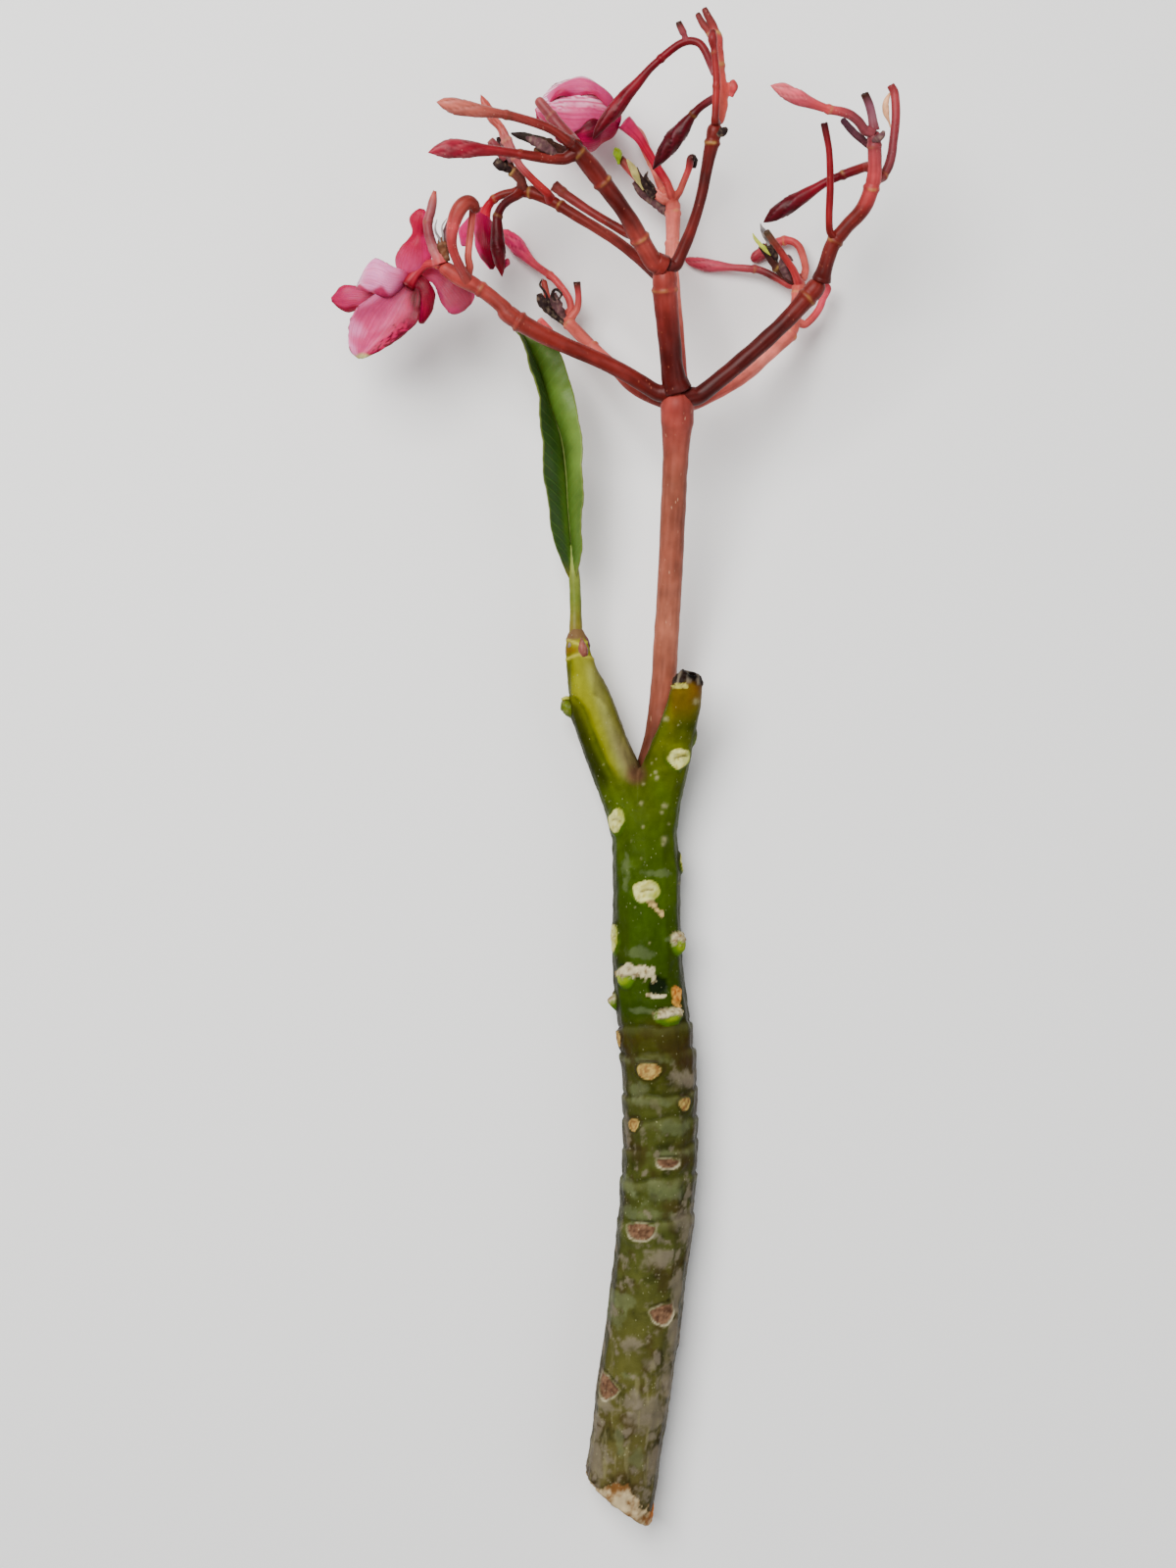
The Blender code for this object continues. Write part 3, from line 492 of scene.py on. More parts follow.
DARK_RED, DEEP_RED, WARM_RED = rgb(98, 28, 23), rgb(134, 52, 46), rgb(166, 80, 72)
SALMON, PALE_SALMON, ROSE = rgb(210, 112, 102), rgb(242, 150, 136), rgb(204, 88, 92)
MAUVE, PALE_MAUVE, MAROON = rgb(152, 80, 88), rgb(188, 118, 122), rgb(96, 38, 42)
TAN, BROWN, BLACKISH = rgb(206, 172, 106), rgb(92, 54, 42), rgb(66, 48, 48)
CRIMSON, WINE, HOT_PINK = rgb(142, 0, 44), rgb(98, 0, 26), rgb(240, 60, 134)
PINK, LIME = rgb(200, 76, 98), rgb(160, 190, 40)
STALK, STALK_LIGHT, STALK_FOOT = rgb(160, 98, 80), rgb(184, 120, 98), rgb(104, 64, 46)

# x, y, z and radius (mm) along the thick bud that bends over at its tip
HOOKED_BUD = [
    (-38.9, 140.4, 47.2, 0.9), (-39.6, 141.4, 48, 1.2), (-41.1, 143.6, 50, 1.3), (-42.4, 146.6, 51.6, 1.3),
    (-42.9, 149.4, 52.6, 1.4), (-42.6, 152.6, 53.2, 1.7), (-41.6, 156, 53.8, 2), (-40.2, 158.3, 54.2, 2.1),
    (-38.5, 159.5, 54, 2), (-37.1, 159.1, 53.2, 1.7), (-36.5, 158.3, 52.4, 1.4),
]
PATHS = {}
BUD_TWIST = 1.1          # turns of the petals' edges over the length of a bud
PETALS_IN_BUD = 5
NO_BUD = 2.0             # a share of the length that no stem reaches
RAGGED_ENDS = ("cut", "cup", "withered")

# name, grows from, slot, colours from start to tip, end, nodes as (share of length, swelling)
STEMS = [
    ("flower_stalk", "woody_stem", "stalk_red", (STALK_FOOT, STALK, STALK_LIGHT, STALK, STALK, WARM_RED),
     "joint", ()),
    ("centre_branch", "flower_stalk", "branch_red", (DARK_RED, DARK_RED, DEEP_RED, WARM_RED), "joint",
     ((0.9, 0.10),)),
    ("left_branch", "flower_stalk", "branch_red",
     (DARK_RED, DEEP_RED, rgb(144, 54, 46), WARM_RED, rgb(184, 84, 80)), "joint",
     ((0.66, 0.20), (0.85, 0.16))),
    ("right_branch", "flower_stalk", "branch_red", (DARK_RED, DARK_RED, DARK_RED, DEEP_RED), "joint",
     ((0.93, 0.12),)),
    ("left_rear_branch", "flower_stalk", "branch_salmon", (DEEP_RED, WARM_RED, SALMON, SALMON, WARM_RED),
     "cut", ((0.4, 0.1), (0.56, 0.2), (0.74, 0.16))),
    ("right_rear_branch", "flower_stalk", "branch_salmon", (WARM_RED, SALMON, PALE_SALMON, SALMON, SALMON),
     "joint", ((0.73, 0.2), (0.95, 0.1))),
    ("centre_rear_branch", "flower_stalk", "branch_salmon", (ROSE, SALMON, PALE_SALMON, SALMON), "joint",
     ((0.8, 0.15), (0.95, 0.12))),
    ("centre_left_branch", "centre_branch", "branch_red", (DEEP_RED, WARM_RED, DARK_RED, DEEP_RED, DARK_RED),
     "joint", ((0.26, 0.14), (0.71, 0.16), (0.95, 0.1))),
    ("centre_right_branch", "centre_branch", "branch_red", (DARK_RED, DEEP_RED, DARK_RED, DEEP_RED), "joint",
     ((0.92, 0.16),)),
    ("far_left_branch", "centre_branch", "branch_red", (DARK_RED, DEEP_RED, WARM_RED, DEEP_RED, DEEP_RED),
     "joint", ((0.78, 0.2), (0.96, 0.12))),
    ("right_upper_branch", "right_branch", "branch_red", (DARK_RED, DEEP_RED, DEEP_RED, ROSE, MAUVE), "joint",
     ((0.27, 0.14), (0.68, 0.14), (0.95, 0.12))),
    ("pink_top_stem", "centre_right_branch", "branch_salmon", (), "skin", ()),
    ("left_end_stub", "left_branch", "pedicel_mauve", (ROSE, PALE_MAUVE, MAUVE, MAUVE, PALE_MAUVE, SALMON),
     "cut", ((0.23, 0.1), (0.6, 0.1))),
    ("left_hooked_bud", "left_branch", "bud_pink",
     (WARM_RED, rgb(176, 84, 84), rgb(160, 64, 66), ROSE, WARM_RED, DEEP_RED), "round", ()),
    ("left_straight_stub", "left_branch", "pedicel_mauve", (WARM_RED, SALMON, SALMON, ROSE), "round", ()),
    ("left_flower_tube", "left_branch", "pedicel_mauve", (ROSE, ROSE, rgb(200, 60, 84), CRIMSON), "cup",
     ((0.3, 0.15),)),
    ("left_rear_bud", "left_rear_branch", "bud_pink", (SALMON, ROSE, ROSE, PINK, HOT_PINK, rgb(206, 50, 96)),
     "bud", ((0.41, 0.2),)),
    ("left_rear_stub", "left_rear_branch", "branch_salmon", (SALMON, SALMON, ROSE, BROWN), "cut", ()),
    ("cluster_upper_bud", "centre_left_branch", "bud_pink",
     (DEEP_RED, rgb(138, 54, 50), rgb(150, 72, 66), rgb(184, 108, 96), rgb(204, 124, 110)), "bud",
     ((0.52, 0.16),)),
    ("cluster_lower_bud", "centre_left_branch", "bud_pink",
     (DARK_RED, DEEP_RED, rgb(140, 44, 50), rgb(158, 34, 62), rgb(176, 60, 84)), "bud", ((0.39, 0.16),)),
    ("cluster_thick_stub", "centre_left_branch", "pedicel_mauve",
     (DEEP_RED, rgb(140, 66, 70), MAUVE, rgb(172, 96, 98)), "round", ((0.71, 0.12),)),
    ("cluster_dried_buds", "centre_left_branch", "dried", (MAROON, BROWN, rgb(60, 52, 34), BLACKISH),
     "withered", ((0.5, 0.2),)),
    ("red_side_stub", "centre_left_branch", "pedicel_mauve",
     (DEEP_RED, DEEP_RED, rgb(156, 66, 66), rgb(150, 80, 74)), "cut", ((0.9, 0.1),)),
    ("far_left_bud", "far_left_branch", "bud_pink",
     (rgb(176, 54, 58), rgb(186, 70, 72), PALE_MAUVE, SALMON, rgb(196, 100, 90)), "bud",
     ((0.45, 0.2), (0.6, 0.2))),
    ("far_left_stub", "far_left_branch", "dried", (rgb(120, 60, 56), rgb(128, 80, 70), BROWN, BLACKISH),
     "cup", ((0.37, 0.3),)),
    ("drooping_flower_tube", "far_left_branch", "petal_red",
     (DEEP_RED, DEEP_RED, rgb(180, 24, 54), rgb(214, 30, 76)), "cup", ((0.55, 0.18),)),
    ("dark_bud", "far_left_branch", "bud_crimson", (DEEP_RED, rgb(100, 24, 34), WINE, WINE, CRIMSON), "bud",
     ((0.4, 0.16),)),
    ("red_top_stem", "centre_right_branch", "branch_red",
     (DEEP_RED, rgb(168, 58, 58), rgb(170, 60, 62), rgb(140, 60, 62)), "cut", ((0.43, 0.12), (0.78, 0.14))),
    ("arched_bud", "pink_top_stem", "bud_crimson",
     (MAUVE, rgb(140, 50, 56), rgb(128, 14, 38), rgb(136, 0, 40), CRIMSON, WINE), "bud", ((0.47, 0.18),)),
    ("arch_hook_stub", "arched_bud", "pedicel_mauve", (MAUVE, MAUVE, rgb(150, 80, 84), BROWN), "cut", ()),
    ("middle_bud", "pink_top_stem", "bud_crimson", (MAUVE, rgb(110, 26, 38), WINE, WINE, rgb(70, 0, 16)),
     "bud", ((0.36, 0.16),)),
    ("red_upright_stem", "right_upper_branch", "branch_red",
     (DEEP_RED, rgb(150, 30, 42), rgb(156, 28, 46), rgb(110, 30, 40)), "cut", ()),
    ("right_outer_stub", "right_upper_branch", "pedicel_mauve",
     (DEEP_RED, MAUVE, rgb(160, 70, 78), rgb(176, 84, 88)), "cut", ((0.12, 0.12),)),
    ("right_top_stub", "right_upper_branch", "pedicel_mauve",
     (MAUVE, rgb(164, 112, 122), rgb(146, 96, 110), BROWN), "cut", ()),
    ("right_top_bud", "right_upper_branch", "bud_pink",
     (MAUVE, MAUVE, ROSE, rgb(216, 100, 116), rgb(232, 128, 134)), "bud", ((0.47, 0.18),)),
    ("right_dark_stub", "right_upper_branch", "dried", (MAROON, rgb(118, 72, 84), rgb(96, 60, 74)), "round",
     ()),
    ("right_lower_bud", "right_upper_branch", "bud_crimson",
     (DEEP_RED, rgb(120, 26, 44), CRIMSON, WINE, WINE), "bud", ((0.28, 0.18),)),
    ("right_rear_curl", "right_rear_branch", "branch_salmon",
     (SALMON, ROSE, rgb(220, 90, 110), rgb(190, 80, 90)), "cut", ()),
    ("right_rear_red_stub", "right_rear_branch", "branch_red",
     (ROSE, rgb(190, 70, 72), rgb(170, 70, 66), rgb(120, 100, 80)), "cup", ()),
    ("right_rear_looped_bud", "right_rear_branch", "branch_salmon",
     (SALMON, SALMON, ROSE, rgb(196, 80, 92), rgb(168, 60, 78)), "bud", ((0.6, 0.2),)),
    ("right_rear_dark_stub", "right_rear_branch", "dried", (MAROON, BROWN, rgb(90, 50, 44), BLACKISH), "cup",
     ((0.5, 0.3),)),
    ("right_rear_long_bud", "right_rear_branch", "bud_pink",
     (ROSE, rgb(110, 50, 50), rgb(190, 90, 100), rgb(218, 96, 120), PINK), "bud", ((0.4, 0.2),)),
    ("centre_rear_left_stub", "centre_rear_branch", "branch_salmon",
     (SALMON, PALE_SALMON, ROSE, rgb(150, 90, 76)), "cut", ((0.1, 0.15),)),
    ("centre_rear_bud", "centre_rear_branch", "branch_salmon",
     (SALMON, SALMON, PALE_SALMON, SALMON, PALE_SALMON), "bud", ((0.17, 0.15), (0.55, 0.12))),
    ("upper_flower_tube", "centre_rear_branch", "petal_red",
     (SALMON, rgb(190, 40, 70), rgb(196, 16, 74), rgb(214, 60, 120)), "cup", ((0.42, 0.16),)),
    ("centre_rear_right_stub", "centre_rear_branch", "branch_salmon", (SALMON, SALMON, ROSE, BLACKISH), "cut",
     ()),
]


def trunk_of(parent):
    """Points along the middle of the stem that another one grows from."""
    if parent in PATHS:
        return curve_through(PATHS[parent], 0.5)[0][:, :3]
    return node_points(parent)[0]


def nearest_end(name, parent):
    """The end of a stem that is nearer to its parent, as a point to start from."""
    points, triangles = node_points(name)
    ends = [points[corners].mean(0) for corners in flat_round_faces(points, triangles)]
    surface = node_points(parent)[0]
    return min(ends, key=lambda end: np.linalg.norm(surface - end, axis=1).min())


def rooted(path, parent):
    """Adds a root that reaches back inside the parent, so that the two grow into each other."""
    start, body = path[0, :3], path[2:] if len(path) > 5 else path[1:]
    radius = body[0, 3]
    outward = body[0, :3] - start
    outward /= np.linalg.norm(outward)
    if parent in PATHS:
        trunk = trunk_of(parent)
        nearest = trunk[np.argmin(np.linalg.norm(trunk - start, axis=1))]
        root = start + (nearest - start) * 0.8
    else:
        root = start - outward * 7
    return np.vstack([[*root, radius * 1.05], [*(0.5 * (root + body[0, :3])), radius * 1.04], body])


def colours_along(colours, share):
    """A smooth run of colours; share goes from 0 at the start to 1 at the tip."""
    stops = np.linspace(0, 1, len(colours))
    return np.stack([np.interp(share, stops, [c[k] for c in colours]) for k in range(3)], axis=-1)


def tip_rings(end, radius):
    """Rings past the end of a stem: share of its radius, and step outward in mm."""
    dome = ((0.92, 0.45 * radius), (0.7, 0.78 * radius), (0.36, 0.96 * radius), (0, radius))
    return {
        "joint": dome,
        "round": dome,
        "bud": ((0.6, 0.15), (0, 0.25)),
        "withered": ((0.8, 0.2), (0.4, 0.45), (0, 0.5)),
        "cut": ((0.86, 0.22), (0.66, 0.24), (0.5, -0.1), (0.2, -0.3), (0, -0.3)),
        "cup": ((0.97, 0.25), (0.82, 0.3), (0.7, -0.2), (0.55, -0.9), (0, -1.1)),
    }[end]


def where_bud_starts(rows):
    """Share of the length at which a stem swells into its bud."""
    run = np.concatenate([[0], np.cumsum(np.linalg.norm(np.diff(rows[:, :3], axis=0), axis=1))])
    swollen = (run > 0.3 * run[-1]) & (rows[:, 3] > 1.12 * np.median(rows[:, 3]))
    return run[np.argmax(swollen)] / run[-1] if swollen.any() else NO_BUD


def petal_edge(share, turn, bud_start, seed):
    """From 0 to 1 across each rolled petal of a bud, in a spiral that climbs to the tip."""
    return (PETALS_IN_BUD * (turn + BUD_TWIST * (share - bud_start)) + 0.1 * seed) % 1


def stem_tint(flat, share, around, length, row, bud_start, seed):
    """Colours along a stem, with scarred nodes, pale fibres and, on a bud, the edges of its rolled petals: a
    painted highlight towards each petal's raised edge and painted shade along the seam where it overlaps the
    next.
    """
    slot, colours, end, nodes = row
    last = np.asarray(colours[-1])
    tint = colours_along(colours, share)
    rim = np.zeros_like(share)
    for at, size in nodes:
        line = (share - at) * length + 0.35 * np.sin(TAU * around + seed)
        one_side = 0.35 + 0.65 * ramp(-0.3, 0.7, np.cos(TAU * around + 1.7 * seed + 9 * at))
        rim = np.maximum(rim, np.exp(-(line / 0.4) ** 2) * min(0.8, 0.25 + size * 2.5) * one_side)
    speckle = np.clip(0.4 + 1.5 * wobble(flat, 2.6, seed).reshape(share.shape), 0, 0.85)
    tint = mix(tint, TAN, rim * speckle)
    tint = tint * (1 + 0.2 * wobble(flat, 4.0, seed + 3).reshape(share.shape))[..., None]
    circle = TAU * around.ravel()
    lengthwise = [2.2 * np.cos(circle), 2.2 * np.sin(circle), 0.07 * length * share.ravel()]
    fibres = wobble(np.column_stack(lengthwise), 0.6, seed, 2).reshape(share.shape)
    palest = 0.12 if slot == "bud_crimson" else 0.26
    tint = mix(tint, np.minimum(1.4 * tint + 0.02, 1), np.clip(0.7 * fibres, 0, palest))
    tint = tint * (1 - 0.3 * np.clip(-fibres, 0, 1))[..., None]
    if end == "bud":
        grown = ramp(bud_start - 0.02, bud_start + 0.1, share)
        edge = petal_edge(share, around, bud_start, seed)
        line = np.exp(-(np.minimum(edge, 1 - edge) / 0.1) ** 2) * grown
        lighter, amount = ((0.30, 0.02, 0.08), 0.10) if slot == "bud_crimson" else ((0.40, 0.20, 0.20), 0.22)
        # painted highlight: each rolled petal lighter towards its raised edge
        tint = mix(tint, last * 0.5 + np.array(lighter), ramp(0.45, 0.92, edge) * (1 - line) * grown * amount)
        # painted shade: a dark line along the seam between petals
        tint = mix(tint, last * 0.35, line * 0.65)
    if end in RAGGED_ENDS:
        tint = mix(tint, last * 0.6, ramp(length - 1.2, length, share * length) * 0.8)
    return tint


def make_stem(name, parent, slot, colours, end, nodes):
    path = np.array(HOOKED_BUD) if name == "left_hooked_bud" else centreline(name, nearest_end(name, parent))
    PATHS[name] = path
    rows = rooted(path, parent)
    if end == "joint":
        rows = rows[:-2]
    thick = rows[:, 3].max()
    spacing = min(0.6, max(0.26, 0.15 * thick))
    sides = 32 if thick > 2.6 else 24 if thick > 1.5 else 20
    seed = numbered_seed(name, 97)
    length = curve_through(rows, spacing)[1][-1]
    bud_start = where_bud_starts(rows) if end == "bud" else NO_BUD
    to_share = 1 / length
    dried = slot == "dried"

    def swell(run, turn, radius):
        share = run * to_share
        flare = np.clip(1 - run / (2.4 * rows[0, 3] + 1.5), 0, 1)
        reach = radius * np.ones_like(turn) * (1 + 0.3 * flare ** 2)
        for at, size in nodes:
            away = (share - at) * length
            beside = 0.35 * size * np.exp(-((away - 1.1) / 0.4) ** 2)
            reach = reach * (1 + size * np.exp(-(away / 0.6) ** 2) - beside)
        lumps = lumps_around(seed, run, turn, 0.8, 0.23)
        reach = reach * (1 + (0.22 if dried else 0.06) * lumps)
        if dried:
            reach = reach * (1 + 0.07 * np.sin(TAU * 5 * turn + 0.8 * run + 3 * lumps))
        if end == "bud":
            grown = ramp(bud_start - 0.03, bud_start + 0.12, share)
            reach = reach * (1 + grown * (0.13 * petal_edge(share, turn, bud_start, seed) ** 1.6 - 0.06))
        return reach

    points, run, turn = swept(rows, spacing, sides, swell)
    share, around = np.meshgrid(run * to_share, turn % 1, indexing="ij")
    tint = stem_tint(points.reshape(-1, 3), share, around, length, (slot, colours, end, nodes), bud_start,
                     seed)
    radius = np.linalg.norm(points[-1] - points[-1].mean(0), axis=1).mean()
    tips = tip_rings(end, radius)
    if end in RAGGED_ENDS:
        ragged = wobble(points[-1], 0.7, seed)[:, None]
        ragged[-1] = ragged[0]
        points[-1] += (points[-1] - points[-2]).mean(0) / spacing * 0.3 * ragged
    points = closed_ends(points, tips)
    dark = 0.55 if end in RAGGED_ENDS else 1
    after = np.array([tint[-1] * (1 if share_of_radius > 0.8 else dark) for share_of_radius, _ in tips])
    tint = np.concatenate([tint[:1], tint[:1], tint, after])
    shape_grid(name + "_stem", points, FINISHES[slot], tint, [name], closed=True)


def make_pink_top():
    """The pink stem at the top, which forks into two finger-like stubs and has a small side stub."""
    name = "pink_top_stem"
    piece = copy_of_node(name, PINK_TOP_VOXEL)
    points, normals = corners_of(piece)
    low, high = points[:, 1].min(), points[:, 1].max()
    levels = np.linspace(low + 0.6, high - 10, 12)
    rows = []
    for level in levels:
        near = points[np.abs(points[:, 1] - level) < 0.8]
        rows.append([near[:, 0].min() * 0.5 + near[:, 0].max() * 0.5, level, near[:, 2].mean(), 1.5])
    PATHS[name] = np.array(rows)
    share = (points[:, 1] - low) / (high - low)
    tint = colours_along((SALMON, rgb(220, 112, 100), rgb(220, 104, 98), SALMON, rgb(196, 88, 88),
                          rgb(156, 76, 74), rgb(128, 66, 66)), share)
    tint = tint * (1 + 0.2 * wobble(points, 3.5, 5))[:, None]
    scar = np.exp(-((share - 0.52 - 0.01 * np.sin(points[:, 0])) * (high - low) / 0.7) ** 2)
    ring = np.exp(-((share - 0.78) * (high - low) / 0.6) ** 2)
    tint = mix(tint, TAN, np.clip(scar + ring, 0, 1) * np.clip(0.5 + 0.9 * wobble(points, 1.4, 2), 0, 1))
    tint = mix(tint, BROWN, ramp(0.965, 0.99, share))
    move = 0.12 * wobble(points, 2.4, 8) + 0.22 * scar + 0.18 * ring
    set_corners(piece, points + normals * move[:, None], tint, FINISHES["branch_salmon"])
    finished(piece, [name])


for row in STEMS:
    if row[4] == "skin":
        make_pink_top()
    else:
        make_stem(*row)

# ---------------------------------------------------------------- the woody stem

DARK_GREEN, OLIVE = rgb(40, 62, 2), rgb(166, 166, 44)
BARK_BROWN, BARK_GREY, SCAR_BROWN = rgb(78, 56, 34), rgb(150, 140, 124), rgb(152, 122, 98)
SCAR_RIM, FRESH, LIP_GREEN = rgb(206, 198, 168), rgb(230, 230, 160), rgb(100, 134, 12)
LATEX, DEAD_BROWN = rgb(222, 212, 176), rgb(58, 42, 34)

# kind, x, y, z (mm) of its middle on the stem, half width, half height, tilt in degrees
SCARS = [
    ("fresh", 2.0, -7.6, 17.3, 2.7, 3.4, 20), ("fresh", 19.9, 10.2, 23.1, 3.3, 3.0, -8),
    ("fresh", 10.3, -27.8, 20.9, 3.6, 3.2, 0), ("fresh", 1.4, -41.2, 14.5, 2.6, 4.2, 0),
    ("knob", 19.8, -42.6, 16.6, 2.9, 3.2, -10), ("knob", 4.8, -52.0, 18.4, 2.9, 3.0, 0),
    ("knob", 17.1, -63.0, 20.2, 3.9, 2.3, -5), ("knob", 0.8, -60.0, 12.5, 1.8, 2.2, 0),
    ("tan", 3.1, -70.4, 12.6, 2.4, 2.6, 0), ("tan", 11.4, -78.8, 20.7, 3.6, 2.6, 0),
    ("tan", 21.4, -88.2, 18.7, 2.3, 2.2, 0), ("tan", 7.4, -94.2, 18.3, 2.3, 2.0, 0),
    ("moon", 16.4, -104.7, 21.1, 3.5, 1.6, 0), ("moon", 8.8, -124.5, 20.6, 4.7, 2.6, 0),
    ("moon", 15.5, -147.6, 20.4, 4.0, 3.0, -16), ("moon", -0.8, -169.4, 17.5, 4.2, 3.4, 30),
    # the side that lies down, where the same kinds go on around the stem
    ("moon", 14.0, -113.0, 0.6, 4.0, 2.3, 0), ("moon", 6.5, -135.0, 1.6, 4.2, 2.4, 10),
    ("moon", 20.0, -158.0, 5.5, 4.0, 2.6, 0), ("tan", 10.0, -86.0, 0.6, 3.0, 2.0, 0),
    ("fresh", 15.0, -33.0, 1.4, 3.2, 2.6, 0), ("tan", 18.0, -70.0, 2.2, 2.8, 2.0, 0),
    ("fresh", 8.0, -15.0, 2.0, 3.0, 2.6, 0), ("moon", 12.0, -180.0, 0.8, 4.4, 2.8, 0),
    ("fresh", 24.5, 16.0, 17.5, 2.4, 2.2, 0), ("tan", 25.0, -101.0, 8.0, 2.4, 2.0, 0),
    ("fresh", 21.5, -20.0, 10.5, 2.6, 2.6, 0),
]
# x, y, z (mm), spread and height (mm) of lumps and, below zero, hollows
LUMPS = [
    (-8.6, 22.5, 13.6, 2.2, 0.9), (18.4, -46.2, 19.0, 4.0, 0.5), (5.5, -35.0, 20.5, 5.0, 0.4),
    (22.0, -22.0, 14.0, 4.0, 0.7), (2.5, -84.0, 15.0, 3.5, 0.5), (23.5, -105.0, 13.0, 3.5, 0.6),
    (1.0, -110.0, 13.0, 3.0, -0.6), (23.2, 34.0, 24.6, 2.2, -2.2), (20.5, 33.4, 27.0, 1.4, 0.8),
    (24.8, 31.0, 22.5, 1.2, 0.7), (26.0, -58.0, 12.0, 4.0, 0.6), (13.0, -20.0, 23.0, 6.0, 0.4),
]
# y (mm) of the steps between one stretch of growth and the next
CREASES = (-66.5, -74.0, -86.0, -92.5, -101.0, -109.5, -121.5)
# kind of blotch: grey is grey bark, the other kind a pale band of painted highlight just below a crease; x,
# y, half width and half height (mm)
BLOTCHES = [
    ("painted_sheen", 10.0, -75.8, 5.0, 1.1), ("grey", 20.6, -81.2, 3.5, 3.0), ("painted_sheen", 12.3, -87.6, 4.4, 1.2),
    ("painted_sheen", 7.3, -84.0, 2.5, 2.0), ("painted_sheen", 17.0, -95.1, 4.4, 1.8), ("painted_sheen", 16.1, -101.9, 4.4, 1.0),
    ("painted_sheen", 5.0, -111.2, 2.2, 1.6), ("painted_sheen", 15.6, -112.9, 5.0, 2.7), ("painted_sheen", 10.6, -119.5, 5.4, 2.0),
    ("grey", 21.7, -122.9, 2.2, 6.0), ("grey", 14.5, -131.8, 4.2, 3.2), ("painted_sheen", 2.3, -144.6, 3.8, 2.4),
    ("grey", 19.2, -140.7, 1.8, 5.5), ("painted_sheen", 1.1, -148.4, 2.6, 3.2), ("grey", 6.7, -155.7, 3.2, 1.7),
    ("grey", 18.1, -154.6, 1.7, 4.4), ("grey", 12.0, -161.5, 1.7, 1.6), ("painted_sheen", 6.1, -165.1, 2.5, 1.0),
    ("grey", 16.4, -167.6, 2.2, 4.2), ("grey", -1.1, -174.0, 1.7, 1.8), ("grey", 7.0, -172.4, 2.5, 2.8),
    ("grey", 10.8, -176.3, 5.4, 4.4), ("grey", -3.9, -189.6, 2.3, 5.2), ("painted_sheen", 7.8, -189.0, 1.6, 3.4),
    ("grey", 12.3, -190.8, 2.0, 4.0), ("painted_sheen", 3.0, -183.0, 1.2, 4.0), ("painted_sheen", 14.0, -22.5, 3.2, 0.9),
    ("painted_sheen", 17.5, -41.5, 2.6, 0.8), ("painted_sheen", 8.4, -45.6, 4.2, 1.4), ("painted_sheen", 9.0, -61.5, 3.0, 0.7),
    ("painted_sheen", 5.0, -22.0, 1.2, 5.0),
]
# x, y and radius (mm) of drops of dried sap
DROPS = [
    (13.4, 4.4, 0.7), (9.5, 2.7, 0.5), (13.1, 6.1, 0.5), (11.7, 5.2, 0.3), (9.2, -2.8, 0.6),
    (15.6, -3.4, 0.9), (14.8, -5.3, 0.6), (9.5, -9.4, 0.4), (15.6, -13.1, 0.9), (15.9, 21.1, 0.9),
    (19.4, 19.3, 0.3), (24.2, 25.8, 1.1), (-1.7, 8.2, 0.3), (12.0, 8.6, 0.35), (13.1, 9.8, 0.3),
    (25.0, 16.1, 0.9), (9.0, -18.4, 0.35), (15.3, -14.4, 0.6), (19.8, -25.6, 0.35), (11.4, -42.4, 0.4),
    (7.3, -32.3, 0.35), (17.0, -8.6, 0.4), (6.2, -13.5, 0.3), (24.8, -38.0, 0.8), (25.0, -41.0, 0.7),
    (24.9, -45.0, 0.7),
]
# x and y of both ends, reach (mm) and colour of runs and crusts of dried sap
RUNS = [
    (11.2, -30.4, 15.0, -34.2, 0.8, rgb(214, 190, 132)), (6.2, -49.8, 11.6, -51.6, 1.9, LATEX),
    (10.8, -57.2, 15.6, -57.4, 0.6, LATEX), (18.4, 29.9, 21.4, 30.3, 0.6, rgb(206, 200, 110)),
    (18.6, -59.2, 19.4, -60.6, 0.8, rgb(216, 170, 92)), (14.2, -62.4, 19.4, -62.4, 0.9, LATEX),
]


def scar_shape(kind, across, up, half_width, half_height):
    """How far inside a scar each point is, in mm from its edge."""
    bend = 2.0 if kind == "fresh" else 2.4
    wide = np.abs(across) / half_width
    if kind == "moon":
        deep = np.clip(half_height - up, 0, None) / (2 * half_height)
        bowl = (1 - (wide ** bend + deep ** bend) ** (1 / bend)) * min(half_width, 2 * half_height)
        return np.minimum(bowl, half_height - up - 0.04 * across ** 2)
    wide = wide / np.clip(1 + (0.24 if kind == "tan" else 0.1) * up / half_height, 0.4, 1.6)
    deep = np.abs(up / half_height)
    return (1 - (wide ** bend + deep ** bend) ** (1 / bend)) * min(half_width, half_height)


